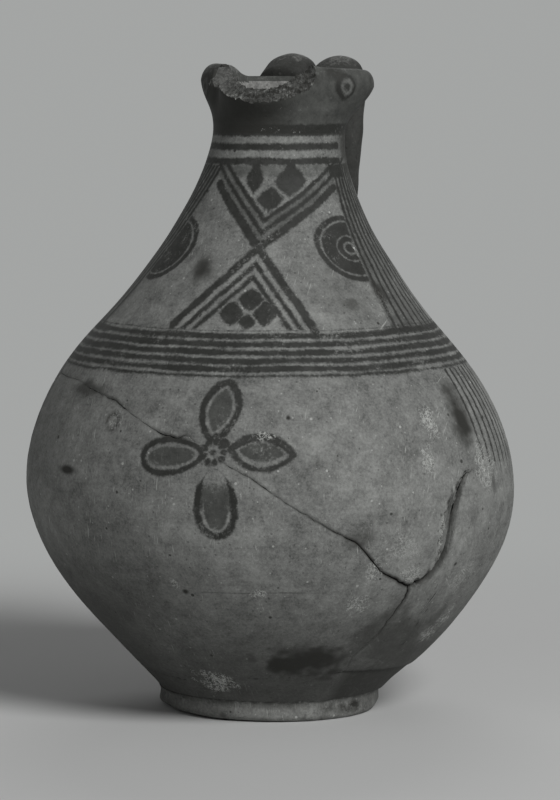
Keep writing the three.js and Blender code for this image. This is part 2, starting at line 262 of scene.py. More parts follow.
def placed(tree, group, **values):
    """A group set in a tree, with its inputs fed. Returns its outputs."""
    node = tree.nodes.new("ShaderNodeGroup")
    node.node_tree = group
    for label, value in values.items():
        feed(tree, value, node.inputs[label])
    return node.outputs


def cloud(tree, place, scale, detail=4, roughness=0.6):
    """Soft random patches, from 0 to 1. The scale is in patches a metre."""
    node = fed(tree, "ShaderNodeTexNoise", Vector=place, Scale=scale, Detail=detail, Roughness=roughness)
    return Field(tree, node.outputs["Fac"])


def stretched(tree, place, scales, turn=(0, 0, 0)):
    """A place turned and stretched, so that patches become streaks."""
    angles = [math.radians(part) for part in turn]
    return fed(tree, "ShaderNodeMapping", Vector=place, Scale=scales, Rotation=angles).outputs["Vector"]


def turned(tree, place, *turn):
    """A place turned only, for a pattern that doesn't repeat another."""
    return stretched(tree, place, (1, 1, 1), turn)


def axes(tree, place):
    """The X, Y and Z of a place."""
    node = fed(tree, "ShaderNodeSeparateXYZ", Vector=place)
    return [Field(tree, node.outputs[axis]) for axis in "XYZ"]


def dots(tree, place, scale, size):
    """Scattered round dots of random size, 1 in the middle of a dot and 0 outside it."""
    node = fed(tree, "ShaderNodeTexVoronoi", Vector=place, Scale=scale)
    parts = fed(tree, "ShaderNodeSeparateColor", Color=node.outputs["Color"])
    own_size = Field(tree, parts.outputs["Red"]).fade(0.5, 1) * size
    return (own_size - Field(tree, node.outputs["Distance"])).fade(0, size * 0.35)


def mixed(tree, share, first, second):
    """Two colours mixed by a share."""
    node = tree.nodes.new("ShaderNodeMix")
    node.data_type = "RGBA"
    feed(tree, share, node.inputs["Factor"])
    feed(tree, first, node.inputs[6])
    feed(tree, second, node.inputs[7])
    return node.outputs[2]


def shaded(tree, colour, factor):
    """A colour made darker or lighter by a field."""
    node = tree.nodes.new("ShaderNodeVectorMath")
    node.operation = "SCALE"
    feed(tree, colour, node.inputs[0])
    feed(tree, factor, node.inputs["Scale"])
    return node.outputs["Vector"]


def fired_clay():
    """Unglazed clay: mottled by fire and soil, with grit, pits, lime, scratches and lines of the wheel."""
    tree, entries, exits = effect(
        "fired clay",
        {"Place": "Vector", "Tone": "Color"},
        {"Colour": "Color", "Roughness": "Float", "Relief": "Float"},
    )
    place = entries["Place"]
    broad = cloud(tree, place, 20, 4, 0.6)
    mottle = cloud(tree, place, 130, 6, 0.75)
    grain = cloud(tree, place, 900, 4, 0.8)
    wheel = cloud(tree, stretched(tree, place, (9, 9, 480)), 1, 4, 0.65)
    tone = (broad - 0.5) * 1.1 + (mottle - 0.5) * 1.9 + (grain - 0.5) * 1.7 + (wheel - 0.5) * 0.35 + 1
    grit = dots(tree, place, 170, 0.16)
    pits = dots(tree, turned(tree, place, 11, 47, 29), 430, 0.24)
    lime = dots(tree, turned(tree, place, 31, 17, 53), 230, 0.16)
    lime = lime.most(dots(tree, turned(tree, place, 59, 83, 7), 410, 0.17) * 0.8)
    bloom = cloud(tree, turned(tree, place, 70, 20, 5), 48, 6, 0.75).fade(0.54, 0.72)
    patchy = cloud(tree, place, 62, 4, 0.65).fade(0.48, 0.6)
    scratch = cloud(tree, stretched(tree, place, (1500, 110, 140), (33, 58, 15)), 1, 1, 0.5).fade(0.69, 0.75)
    for turn in ((-40, 25, 70), (75, 10, -30)):
        streak = cloud(tree, stretched(tree, place, (1500, 90, 140), turn), 1, 1, 0.5).fade(0.71, 0.77)
        scratch = scratch.most(streak)
    scratch = scratch * patchy
    colour = shaded(tree, entries["Tone"], tone)
    colour = mixed(tree, grit * 0.85, colour, SOIL_AND_SHADE_TONE)
    colour = mixed(tree, pits * 0.4, colour, SOIL_AND_SHADE_TONE)
    colour = mixed(tree, bloom * 0.28, colour, LIME_TONE)
    colour = mixed(tree, (lime * 0.85).most(scratch * 0.7), colour, LIME_TONE)
    feed(tree, colour, exits["Colour"])
    feed(tree, mottle * 0.25 + 0.66, exits["Roughness"])
    relief = grain * 0.45 + mottle * 0.7 + wheel * 0.35 - grit * 0.5 - pits * 0.4 - scratch * 0.3
    feed(tree, relief, exits["Relief"])
    return tree


FIRED_CLAY = fired_clay()


def wear_and_shading_share(tree):
    """How much wear, soil and painted shade each piece's mesh carries at a place."""
    node = tree.nodes.new("ShaderNodeAttribute")
    node.attribute_name = "wear_and_shading"
    return Field(tree, node.outputs["Fac"])


def new_finish(name):
    """A material with one shader, its node tree, and the place on the piece that its patterns read."""
    finish = bpy.data.materials.new(name)
    finish.use_nodes = True
    tree = finish.node_tree
    tree.nodes.clear()
    shader = tree.nodes.new("ShaderNodeBsdfPrincipled")
    shader.inputs["Specular IOR Level"].default_value = CLAY_GLOSS
    output = tree.nodes.new("ShaderNodeOutputMaterial")
    tree.links.new(shader.outputs["BSDF"], output.inputs["Surface"])
    return finish, tree, shader, tree.nodes.new("ShaderNodeTexCoord").outputs["Object"]


def surfaced(tree, shader, colour, roughness, relief, depth):
    """Feeds a shader. The relief is a height from 0 to 1, and its depth is in millimetres."""
    raised = fed(tree, "ShaderNodeBump", Distance=depth * MILLIMETRE, Height=relief)
    feed(tree, colour, shader.inputs["Base Color"])
    feed(tree, roughness, shader.inputs["Roughness"])
    feed(tree, raised.outputs["Normal"], shader.inputs["Normal"])


def rubbed_clay(name, tone, depth):
    """Bare clay with soil left in its hollows, and painted shade where its mesh carries it, as in the foot's
    joint.
    """
    finish, tree, shader, place = new_finish(name)
    clay = placed(tree, FIRED_CLAY, Place=place, Tone=tone)
    soil = wear_and_shading_share(tree) * cloud(tree, place, 160, 5, 0.7).fade(0.25, 0.6)
    colour = mixed(tree, soil, clay["Colour"], SOIL_AND_SHADE_TONE)
    surfaced(tree, shader, colour, clay["Roughness"], clay["Relief"], depth)
    return finish


hollow_rise = FOOT_HOLLOW * math.sin(math.radians(FOOT_HOLLOW_ANGLE))
hollow_middle = (FOOT_RADIUS + FOOT_HOLLOW, FOOT_HEIGHT - hollow_rise)
foot_outline = [
    *arc((FOOT_INSIDE + FOOT_INNER_ROUNDING, FOOT_INNER_ROUNDING), FOOT_INNER_ROUNDING, 180, 270, 3),
    *arc((FOOT_RADIUS - FOOT_ROUNDING, FOOT_ROUNDING), FOOT_ROUNDING, 270, 360, 8),
    *arc(hollow_middle, FOOT_HOLLOW, 180, 180 - FOOT_HOLLOW_ANGLE, 8),
    (FOOT_INSIDE, FOOT_HEIGHT),
]
foot_outline.append(foot_outline[0])


def foot_shape(bearing, share):
    radius, height = foot_outline[round(share * (len(foot_outline) - 1))]
    plain = spot(bearing, radius, height)
    outer = soft_step(radius, FOOT_INSIDE, FOOT_RADIUS - FOOT_ROUNDING)
    free = outer * (1 - (height / FOOT_HEIGHT) ** 3)
    lump = FOOT_LUMP * noise.noise(plain / FOOT_LUMP_LENGTH)
    dent = FOOT_DENT * max(0, noise.noise(spot(bearing, FOOT_RADIUS, 60) / FOOT_DENT_LENGTH))
    edge = soft_step(radius, FOOT_RADIUS - FOOT_ROUNDING, FOOT_RADIUS)
    # Painted shade, with soil: the foot darkens towards its top, in the hollow under the body.
    soil = max(0, 1.7 * height / FOOT_HEIGHT - 0.8) * outer
    patch = FOOT_PATCH * max(0, noise.noise(spot(bearing, FOOT_RADIUS, 2 * height + 30) / FOOT_PATCH_LENGTH))
    marks = [strength * bump(bearing, centre, width) for centre, width, strength in FOOT_SOIL]
    soil = max(soil, patch, *marks)
    bulge = sum(reach * bump(bearing, centre, width) for centre, width, reach in FOOT_BULGES)
    tilt = (1 - math.cos(math.radians(bearing - FOOT_LOW_BEARING))) / 2
    lift = FOOT_LIFT * tilt * (1 - height / FOOT_HEIGHT)
    return spot(bearing, radius + (lump - dent + bulge) * free, height + dent * edge * free + lift), soil


foot_ring = tube("turned_foot_ring", FOOT_COLUMNS, len(foot_outline) - 1)
pressed(foot_ring, foot_shape)
edit(
    foot_ring,
    (bpy.ops.mesh.remove_doubles, {"threshold": MERGE_DISTANCE}),
    (bpy.ops.mesh.normals_make_consistent, {}),
)
coated(foot_ring, rubbed_clay("rubbed foot clay", FOOT_TONE, FOOT_RELIEF))
finished(foot_ring, "foot_ring", FOOT_SMOOTHING)

# Body sherds
# The body was thrown in one piece and broke into five: the base with its floor, three pieces of the lower
# wall and the whole shoulder. They are glued edge to edge, so dark break lines cross the brush painting.
BASE_RADIUS = 47
BELLY_RADIUS = 101.5
BELLY_HEIGHT = 95
SHOULDER_RADIUS = 71.5
SHOULDER_HEIGHT = 160
SHOULDER_SLOPE = 0.92
BODY_WALL = 5.5
FLOOR_THICKNESS = 6.5
WALL_START = FOOT_HEIGHT + 0.1
WALL_RISE = BELLY_HEIGHT - WALL_START
SHOULDER_RISE = SHOULDER_HEIGHT - BELLY_HEIGHT
SHOULDER_RUN = 0.31 * SHOULDER_RISE
LOWER_CURVE = [
    (BASE_RADIUS, WALL_START),
    (BASE_RADIUS + 0.64 * (BELLY_RADIUS - BASE_RADIUS), WALL_START + 0.38 * WALL_RISE),
    (BELLY_RADIUS, BELLY_HEIGHT - 0.32 * WALL_RISE),
    (BELLY_RADIUS, BELLY_HEIGHT),
]
UPPER_CURVE = [
    (BELLY_RADIUS, BELLY_HEIGHT),
    (BELLY_RADIUS, BELLY_HEIGHT + 0.35 * SHOULDER_RISE),
    (SHOULDER_RADIUS + SHOULDER_SLOPE * SHOULDER_RUN, SHOULDER_HEIGHT - SHOULDER_RUN),
    (SHOULDER_RADIUS, SHOULDER_HEIGHT),
]
CURVE_STEPS = 80
HOLLOW_REACH, HOLLOW_FILL = 5, 0.6
WALL_WAVE, WALL_WAVE_LENGTH = 0.4, 38
SWAY_BEARING = 110
SWAY = [
    (0, 0), (9, 0.9), (14, 1.9), (27, 2.9), (52, 1.6), (77, 0.7), (95, -0.6), (127, -1.2), (152, -2.2),
    (161, -2.1), (171, -1.1), (185, -0.6), (220, -0.3), (232, 0),
]
SWELL = [
    (10, 0), (15, 0.7), (25, 0.6), (60, 0.8), (85, 0.6), (150, 0.35), (163, 0.1), (178, 0.7), (208, 0.8),
    (224, 0.4), (232, 0),
]
SWAY_EASING = 9
WHEEL_MARK, WHEEL_PITCH = 0.08, 2.3
PIT_BEARING, PIT_HEIGHT, PIT_RADIUS, PIT_DEPTH = -21.2, 127.2, 3.9, 0.9
PIT_RIM, PIT_RIM_WIDTH = 0.85, 0.22
BASE_BREAK = [
    (-60, 19.6), (-20, 17.3), (10, 20.3), (46, 22.4), (84, 19.6), (130, 18.1), (180, 21.1), (240, 18.1),
]
BASE_BREAK_OPENNESS = [(-180, 0.6), (-70, 0.3), (-40, 0.02), (40, 0.02), (49, 0.8), (110, 0.8), (180, 0.6)]
MAIN_BREAK = [
    (-62, 141.5), (-41.5, 141), (-26.5, 136.4), (-22.4, 135.2), (-6, 123.6), (-1.4, 122.3), (0.5, 124),
    (10.8, 112.2), (15.6, 108), (25, 96.3), (33.5, 86.8), (39.6, 81), (41.5, 77.6), (46.5, 68.2),
    (55.7, 60.5), (59.3, 61.7), (62, 63.9), (64.2, 69.1), (65.6, 76), (66.2, 88.3), (69.1, 98.8),
    (71.5, 104), (90, 117.7), (103, 116), (112, 112.4), (120, 111.7), (133, 117.5), (150, 123.8),
    (163, 128.5), (180, 129.8), (196, 126), (215, 120.7), (232, 124), (250, 132.8), (268, 132.5),
    (285, 134),
]
MAIN_BREAK_OPENNESS = [
    (-180, 0.6), (-90, 0.5), (-62, 0.35), (-37, 0.25), (-28, 0.3), (-24, 0.65), (-19, 0.6), (-16, 0.25),
    (-10, 0.25), (-7, 0.5), (-4, 0.8), (0, 0.5), (2, 0.1), (9, 0.15), (12, 0.35), (18, 0.5), (24, 0.3),
    (30, 0.55), (37, 0.65), (42, 1), (50, 1.2), (57, 1.8), (60, 2.4), (68, 2.6), (70.5, 1.2), (75, 0.06),
    (104, 0.06), (115, 0.6),
]
RIGHT_SEAM = [(9, 46), (21.1, 46.3), (30.1, 46.7), (39.2, 52), (55.8, 56.3), (77, 56)]
BACK_SEAM = [
    (9, 178), (22, 179.5), (33, 180.2), (45.2, 183), (55, 181.4), (64, 178), (75.4, 177), (88, 180.5),
    (99.6, 186), (118, 183), (160, 180),
]
LEFT_SEAM = [
    (9, 299), (20, 300.5), (29, 300), (39.2, 303), (46, 301.5), (53, 298.5), (60.3, 296), (68, 298),
    (77, 297.5), (84.5, 300), (93, 298.8), (101, 295.5), (110.2, 294), (125, 296.5), (160, 298),
]
SEAM_OPENNESS = [(9, 0.2), (26, 0.25), (38, 0.5), (48, 0.7), (60, 1.3), (75, 0.7)]
BREAK_GAP = 0.4
BREAK_RAGGEDNESS, COARSE_RAGGEDNESS, FINE_RAGGEDNESS = 0.65, 2.6, 0.9
SLOPE_REACH, SLOPE_LIMIT, BREAK_SEARCH = 0.6, 6, 8
EDGE_ROUNDING, EDGE_REACH = 0.45, 0.7
GLUE_STRENGTH, GLUE_WIDTH, GLUE_SPREAD = 1.2, 0.45, 0.4
FLAKED_FROM, FLAKED_TO = 57, 73
FLAKE_HEIGHT, FLAKE_SPAN, FLAKE_DEPTH, FLAKE_EDGE = 84, 17, 1.5, 0.8
LOWER_FLAKE_REACH, UPPER_FLAKE_REACH, LEAST_FLAKE_REACH = 0.8, 5, 0.8
SPALL_DEPTH, SPALL_WEAR = 0.7, 0.7
SPALL_FROM, SPALL_TO = (46, 54), (112, 100)
SHERD_PITCH = 1.25
EDGE_ROWS = (0, 0.35, 0.8, 1.5, 2.4)
SETTLING_ROUNDS = 4
BASE_COLUMNS = 300
FLOOR_ROWS = 10
FLOOR_HOLE, FLOOR_CORNER = 0.05, 3.5
WALL_ROWS, WALL_ROW_POWER = 9, 0.6
BASE_EDGE_RUN, BASE_EDGE_RISE = 1, 2.6
SEAM_STRAY = 0.6
JOINT_REACH = 12
SHOULDER_COLUMNS = 440
SHOULDER_ROWS = 84
SHOULDER_COLUMN_STOPS = [(0, -180), (0.36, -60), (0.62, 50), (0.76, 75), (1, 180)]
SHOULDER_ROW_POWER = 1.35
CLAY_TONE = (0.188, 0.192, 0.184, 1)
INSIDE_TONE = (0.27, 0.27, 0.26, 1)
BREAK_TONE = (0.2, 0.2, 0.19, 1)
PAINTED_RELIEF, INSIDE_RELIEF, BREAK_RELIEF = 0.24, 0.3, 0.5
OUTER_FACING = 0.2


def on_curve(controls, share):
    """Point of a cubic curve with four control points."""
    rest = 1 - share
    weights = (rest**3, 3 * rest**2 * share, 3 * rest * share**2, share**3)
    return [sum(weight * control[part] for weight, control in zip(weights, controls)) for part in (0, 1)]


def read_at(pairs, place):
    """Straight-line reading of a list of (place, value) pairs."""
    after = bisect.bisect(pairs, (place, math.inf))
    if after == 0:
        return pairs[0][1]
    if after == len(pairs):
        return pairs[-1][1]
    (start, value), (end, following) = pairs[after - 1], pairs[after]
    return value + (following - value) * (place - start) / (end - start)


def eased(pairs, place, reach):
    """A reading of a list of (place, value) pairs with its corners smoothed."""
    return sum(read_at(pairs, place + reach * step / 3) for step in range(-3, 4)) / 7


def swayed(bearing, radius, height):
    """A point on the wall as the hand threw it, a little off the axis and off the plain curve."""
    sway = spot(SWAY_BEARING, eased(SWAY, height, SWAY_EASING), 0)
    return spot(bearing, radius + eased(SWELL, height, SWAY_EASING), height) + sway


def turn_from(start, bearing):
    """A bearing as a turn of less than 360 degrees from a start."""
    return start + (bearing - start) % 360


def closed_round(pairs):
    """A list of readings by bearing, closed after a full turn."""
    return [*pairs, (pairs[0][0] + 360, pairs[0][1])]


body_profile = [
    tuple(reversed(on_curve(curve, step / CURVE_STEPS)))
    for curve in (LOWER_CURVE, UPPER_CURVE)
    for step in range(CURVE_STEPS)
]
body_profile.append((SHOULDER_HEIGHT, SHOULDER_RADIUS))
main_break_line = closed_round(MAIN_BREAK)
base_break_line = closed_round(BASE_BREAK)


def pit(bearing, height):
    """How deep the small spalled pit is at a place, and how dark its rim is made, with soil and painted
    shade.
    """
    across = math.radians(bearing - PIT_BEARING) * BELLY_RADIUS
    away = math.hypot(across, height - PIT_HEIGHT) / PIT_RADIUS
    return PIT_DEPTH * min(1, max(0, 1 - away) * 3), bell(away - PIT_RIM, PIT_RIM_WIDTH)


def wall_spot(bearing, height, sunk=0):
    """A point on the outer face of the body, with the hand's unevenness, sunk into the wall by an amount."""
    radius = read_at(body_profile, height)
    slope = radius - read_at(body_profile, height - 1)
    steep = math.hypot(1, slope)
    plain = spot(bearing, radius, height)
    joint = min(1, (SHOULDER_HEIGHT - height) / JOINT_REACH)
    wave = WALL_WAVE * joint * noise.noise(plain / WALL_WAVE_LENGTH)
    mark = WHEEL_MARK * joint * noise.noise(Vector((0, bearing / 90, height / WHEEL_PITCH)))
    hollow = HOLLOW_FILL * max(0, 1 - (height - WALL_START) / HOLLOW_REACH) ** 2
    sunk += pit(bearing, height)[0]
    return swayed(bearing, radius + wave + mark + hollow - sunk / steep, height + sunk * slope / steep)


def ragged(place, seed):
    """How far a break strays from its line."""
    coarse = noise.noise(Vector((place / COARSE_RAGGEDNESS, seed, 0)))
    fine = noise.noise(Vector((place / FINE_RAGGEDNESS, seed, 9)))
    return BREAK_RAGGEDNESS * (coarse + 0.5 * fine)


def base_break(bearing):
    return read_at(base_break_line, turn_from(BASE_BREAK[0][0], bearing)) + ragged(bearing, 3)


def base_openness(bearing):
    return read_at(BASE_BREAK_OPENNESS, turn_from(-180, bearing))


def main_break(bearing):
    return read_at(main_break_line, turn_from(MAIN_BREAK[0][0], bearing)) + ragged(bearing * 1.7, 1)


def main_openness(bearing):
    return read_at(MAIN_BREAK_OPENNESS, turn_from(-180, bearing))


def main_inset(bearing):
    """How far the edges of the main break stand off its line, up or down. A steep stretch needs more."""
    turn = turn_from(MAIN_BREAK[0][0], bearing)
    rise = read_at(main_break_line, turn + SLOPE_REACH) - read_at(main_break_line, turn - SLOPE_REACH)
    slope = min(abs(rise) / (math.radians(2 * SLOPE_REACH) * BELLY_RADIUS), SLOPE_LIMIT)
    return BREAK_GAP / 2 * main_openness(bearing) * math.hypot(1, slope)


def distance_to_break(bearing, height):
    """Distance along the wall from the main break, whichever way its line runs."""
    turn = turn_from(MAIN_BREAK[0][0], bearing)
    nearest = abs(height - main_break(bearing))
    degree = math.radians(1) * BELLY_RADIUS
    for (start, low), (end, high) in zip(main_break_line, main_break_line[1:]):
        if start - BREAK_SEARCH < turn < end + BREAK_SEARCH:
            run, rise = (end - start) * degree, high - low
            across, upward = (turn - start) * degree, height - low
            share = min(max((across * run + upward * rise) / (run**2 + rise**2), 0), 1)
            nearest = min(nearest, math.hypot(across - share * run, upward - share * rise))
    return nearest


def rounded_edge(distance, openness):
    """How far the worn edge of a break is sunk at a distance from it."""
    return openness * EDGE_ROUNDING * bell(distance, EDGE_REACH)


def soiled(distance, openness):
    """How dark the glue and soil have made the edge of a break."""
    return min(1, openness * GLUE_STRENGTH) * bell(distance, GLUE_WIDTH + GLUE_SPREAD * openness)


def flaked(bearing, height, distance, reach):
    """How deep the surface has flaked off beside the wide stretch of the main break, and how dark it is: soil
    inside, soil and painted shade at its edge.
    """
    turn = turn_from(-180, bearing)
    if not FLAKED_FROM < turn < FLAKED_TO:
        return 0, 0
    reach = reach * bell(height - FLAKE_HEIGHT, FLAKE_SPAN) + LEAST_FLAKE_REACH
    reach *= 1 + 0.7 * noise.noise(Vector((turn / 1.2, height / 2.6, 4)))
    rough = 0.75 + 0.6 * noise.noise(Vector((turn / 0.8, height / 1.4, 8)))
    inside = soft_step(distance, reach, reach - FLAKE_EDGE)
    # Soil and painted shade along the step at the flake's edge.
    rim = bell(distance - reach + FLAKE_EDGE / 2, FLAKE_EDGE) * soft_step(reach, 1.2, 2.5)
    return FLAKE_DEPTH * rough * inside, max(0.4 * inside, 1.1 * rim)


# Brush painting of the body
# Dark slip, laid on with a brush before firing and worn since, with stains and chips over it, and with
# painted shade low on the body. Bearings are in degrees from the spout, and heights and sizes in millimetres.
PAINT_TONE = (0.014, 0.0145, 0.0125, 1)
WASH_TONE = (0.05, 0.052, 0.048, 1)
CHIP_TONE = (0.45, 0.46, 0.44, 1)
NECK_LEAN, NECK_LEAN_BEARING = 6, 110
RIM_HEIGHT = 268.5
BRUSH_WOBBLE = 0.8
BANDS_FROM, BANDS_TO = 145.7, 163.4
BAND_LINE_FIRST, BAND_LINE_PITCH, BAND_LINE_WIDTH = 147.3, 3.1, 0.8
SIDE_LINES = [(78.5, 101), (-84, -61)]
SIDE_LINE_COUNT, SIDE_LINE_WIDTH = 7, 1.7
SIDE_LINES_FROM, SIDE_LINES_FADE, SIDE_LINES_TO = 88, 116, 145.5
FLOWER_BEARING, FLOWER_HEIGHT = 7, 117.4
TOP_PETAL = {"middle": (0.6, 15.9), "tilt": 79, "half_length": 12.6, "half_width": 8.6}
RIGHT_PETAL = {"middle": (18.8, 0), "tilt": -5, "half_length": 14.2, "half_width": 7.6}
LEFT_PETAL = {"middle": (-17.6, -2), "tilt": 186, "half_length": 14, "half_width": 7.4, "taper": 0.2}
BOTTOM_PETAL = {"middle": (1.2, -20), "tilt": -87, "half_length": 14.9, "half_width": 8.8, "taper": 0.16}
PETAL_LINE, PETAL_GAP = 2.8, 1.1
BEAD_RING, BEAD_SIZE, BEAD_COUNT = 4.1, 1.5, 9
STAIN_EDGE = {"scale": 85, "detail": 2, "reach": 1.3}
CHIP_EDGE = {"scale": 190, "detail": 5, "reach": 2}
# Dark patches on the body. The broad soft ones low on the front and right, at bearings 31, 62 and 66, are
# painted shade under the belly; the others are stains.
BODY_STAINS_AND_SHADE = [
    (75.2, 127.8, 9.5, 17.5, 1), (31, 28, 38, 15, 1), (-34, 106.4, 9, 2.3, 1), (40.8, 82.6, 9, 5, 0.5),
    (-36, 138.6, 17, 4, 0.75), (84, 100, 3, 6, 0.6), (66, 26, 38, 18, 0.75), (24.3, 130.6, 1.3, 1.3, 1),
    (-2, 60.5, 2, 1.6, 1), (70.5, 68, 1.6, 1.2, 1), (18, 60.6, 36, 0.5, 0.45), (62, 36, 48, 26, 0.75),
]
BODY_CHIPS = [
    (-2.7, 18.5, 12, 7, 1), (62.7, 126.7, 6, 9, 1), (59.8, 111.3, 5, 8, 1), (80, 106, 12, 14, 0.9),
    (51, 78, 12, 12, 0.4), (-21.2, 127.2, 5, 5, 0.7), (19, 123.5, 6, 2, 1), (63, 82, 3, 9, 0.8),
    (56, 66, 9, 5, 0.7), (42.9, 55, 7, 6, 0.7), (81, 43, 6, 7, 0.8), (78, 36, 9, 5, 0.8),
    (17, 60.3, 5, 2.6, 0.9), (-4, 63.5, 3, 4, 0.7), (45, 68, 8, 7, 0.6), (76, 62, 14, 12, 0.4),
]
# The body darkens towards the bottom, partly with soil and partly as painted shade where the wall turns down.
LOWER_SOIL_AND_SHADE_FROM, LOWER_SOIL_AND_SHADE_TO, LOWER_SOIL_AND_SHADE = 72, 14, 0.7
# Painted shade: the lower left of the body, turned away from the key light, is darkened in its colour.
LEFT_SHADE_BEARING, LEFT_SHADE_FROM, LEFT_SHADE_TO, LEFT_SHADE = -75, 100, 42, 0.8
LEFT_SHADE_REACH, LEFT_SHADE_CORE = 95, 35


def around_the_jug():
    """Reads a place on the jug as a bearing, a height and a distance from the leaning axis."""
    tree, entries, exits = effect(
        "around the jug",
        {"Place": "Vector", "Wobble": "Float"},
        {"Bearing": "Float", "Height": "Float", "Radius": "Float"},
    )
    wobble = Field(tree, entries["Wobble"])
    sway = cloud(tree, entries["Place"], 50, 2, 0.5) - 0.5
    heave = cloud(tree, turned(tree, entries["Place"], 40, 60, 20), 38, 2, 0.5) - 0.5
    x, y, z = (part / MILLIMETRE for part in axes(tree, entries["Place"]))
    lean = ((z - SHOULDER_HEIGHT) / (RIM_HEIGHT - SHOULDER_HEIGHT)).most(0)
    lean = lean * lean * NECK_LEAN
    shift = spot(NECK_LEAN_BEARING, 1, 0)
    x = x - lean * shift.x
    y = y - lean * shift.y
    radius = x.length_with(y)
    bearing = x.math("ARCTAN2", -y) * math.degrees(1)
    feed(tree, bearing + sway * wobble / radius * math.degrees(2), exits["Bearing"])
    feed(tree, z + heave * wobble * 2, exits["Height"])
    feed(tree, radius, exits["Radius"])
    return tree


AROUND_THE_JUG = around_the_jug()


def brush_paint():
    """How much a worn brush stroke covers, from a distance in millimetres, negative inside the stroke."""
    tree, entries, exits = effect(
        "brush paint",
        {"Place": "Vector", "Distance": "Float", "Wear": "Float"},
        {"Cover": "Float"},
    )
    place = entries["Place"]
    edge = cloud(tree, place, 950, 4, 0.7) - 0.5
    drift = cloud(tree, place, 300, 3, 0.6) - 0.5
    inside = (Field(tree, entries["Distance"]) + edge * 1.7 + drift * 1.6).fade(0.6, -0.6)
    flake = cloud(tree, turned(tree, place, 50, 10, 70), 560, 6, 0.75)
    rub = cloud(tree, place, 50, 4, 0.65)
    lost = (flake * 0.7 + rub * 0.6 + Field(tree, entries["Wear"]) * 0.35 - 0.84).fade(0, 0.14)
    thin = cloud(tree, turned(tree, place, 15, 80, 35), 150, 5, 0.7).fade(0.35, 0.75)
    feed(tree, inside * (lost * -0.75 + 1) * (thin * -0.12 + 1), exits["Cover"])
    return tree


BRUSH_PAINT = brush_paint()


def brushed(tree, place, distance, wear_and_shading):
    return Field(tree, placed(tree, BRUSH_PAINT, Place=place, Distance=distance, Wear=wear_and_shading)["Cover"])


def stripe(place, low, high):
    """Distance from a stripe between two values, negative inside it."""
    return abs(place - (low + high) / 2) - (high - low) / 2


def shoulder_bands(tree, place, height):
    """Broad dark bands all round the shoulder, parted by thin uneven lines of bare clay."""
    uneven = cloud(tree, stretched(tree, place, (34, 34, 330)), 1, 4, 0.65) - 0.5
    bare = (height - BAND_LINE_FIRST).math("PINGPONG", BAND_LINE_PITCH / 2) + uneven * 2.2
    return stripe(height, BANDS_FROM, BANDS_TO).most(-bare + BAND_LINE_WIDTH / 2)


def line_group(bearing, radius, left, right, count, width):
    """Upright brush lines between two bearings, which may vary with height, and the ground they stand on."""
    spread = right - left
    arc_length = radius * math.radians(1)
    beside = bearing - left
    nearest = abs((beside / spread * count).math("FRACT") - 0.5) * spread / count * arc_length - width / 2
    ground = (abs(beside - spread * 0.5) - spread * 0.5) * arc_length
    return nearest.most(ground), ground


def leaf(along, across, half_length, half_width):
    """Distance from the outline of a leaf that is pointed at both ends, negative inside it."""
    bow = (half_length**2 + half_width**2) / (2 * half_width)
    return along.length_with(abs(across) + (bow - half_width)) - bow


def bud(along, across, half_length, half_width, taper):
    """Distance from the outline of a petal that is round at its far end, negative inside it."""
    across = across * (along * (-taper / half_length) + 1)
    size = (along / half_length).length_with(across / half_width)
    spread = (along / half_length**2).length_with(across / half_width**2)
    return size * (size - 1) / spread


def petal(x, y, form, middle, tilt, **sizes):
    """A petal's distance, in its own turned axes."""
    turn = math.radians(tilt)
    away_x = x - middle[0]
    away_y = y - middle[1]
    along = away_x * math.cos(turn) + away_y * math.sin(turn)
    across = away_y * math.cos(turn) - away_x * math.sin(turn)
    return form(along, across, **sizes)


def flower(bearing, height, radius):
    """Four petals in outline with washed middles, around a dot in a ring of beads."""
    x = (bearing - FLOWER_BEARING) * math.radians(1) * radius
    y = height - FLOWER_HEIGHT
    top = petal(x, y, leaf, **TOP_PETAL)
    right = petal(x, y, leaf, **RIGHT_PETAL)
    left = petal(x, y, bud, **LEFT_PETAL)
    bottom = petal(x, y, bud, **BOTTOM_PETAL)
    away = x.length_with(y)
    around = (y.math("ARCTAN2", x) * (BEAD_COUNT / math.tau)).math("PINGPONG", 0.5)
    beads = (around * (math.tau * BEAD_RING / BEAD_COUNT)).length_with(away - BEAD_RING) - BEAD_SIZE
    joints = ((x - 3.8).length_with(y - 3.4) - 2.4).least((x - 1).length_with(y - 5.6) - 2)
    ink = beads.least(away - 1).least(joints)
    heavy = y.fade(-4, 4) * 1.3 + (PETAL_LINE - 0.6)
    ink = ink.least(abs(right + heavy * 0.5) - heavy * 0.5)
    ink = ink.least(stripe(top, -PETAL_LINE, 0)).least(stripe(left, -PETAL_LINE + 0.4, 0))
    ink = ink.least(stripe(bottom, -PETAL_LINE, 0) + y.fade(-17, -7) * 1.5)
    merged = bottom.most(stripe(y, -22, -13) * 0.25) - (PETAL_LINE + PETAL_GAP)
    wash = top.least(right).least(left).least(bottom + y.fade(-22, -13) * 5).least(merged)
    return ink, wash + (PETAL_LINE + PETAL_GAP)


def blots(tree, place, bearing, height, radius, patches, edge):
    """Soft ragged patches, each with its bearing, height, half width, half height and strength."""
    ragged_edge = (cloud(tree, place, edge["scale"], edge["detail"], 0.65) - 0.5) * edge["reach"]
    spots = []
    for patch_bearing, patch_height, half_width, half_height, strength in patches:
        x = (bearing - patch_bearing) * radius * (math.radians(1) / half_width)
        y = (height - patch_height) / half_height
        spots.append((x.length_with(y) + ragged_edge).fade(1.05, 0.2) * strength)
    return functools.reduce(Field.most, spots)


def speckled(tree, place, patch, tangles):
    """Pale chips and tangled scratches over a patch, close together where the patch is strong."""
    chips = (cloud(tree, place, 640, 5, 0.8) + patch * 0.22).fade(0.7, 0.78)
    tangle = abs(cloud(tree, place, 620, 3, 0.6) - 0.5).fade(0.05, 0.015) * patch.fade(0.1, 0.6) * tangles
    return chips.most(tangle) * patch.fade(0, 0.25)


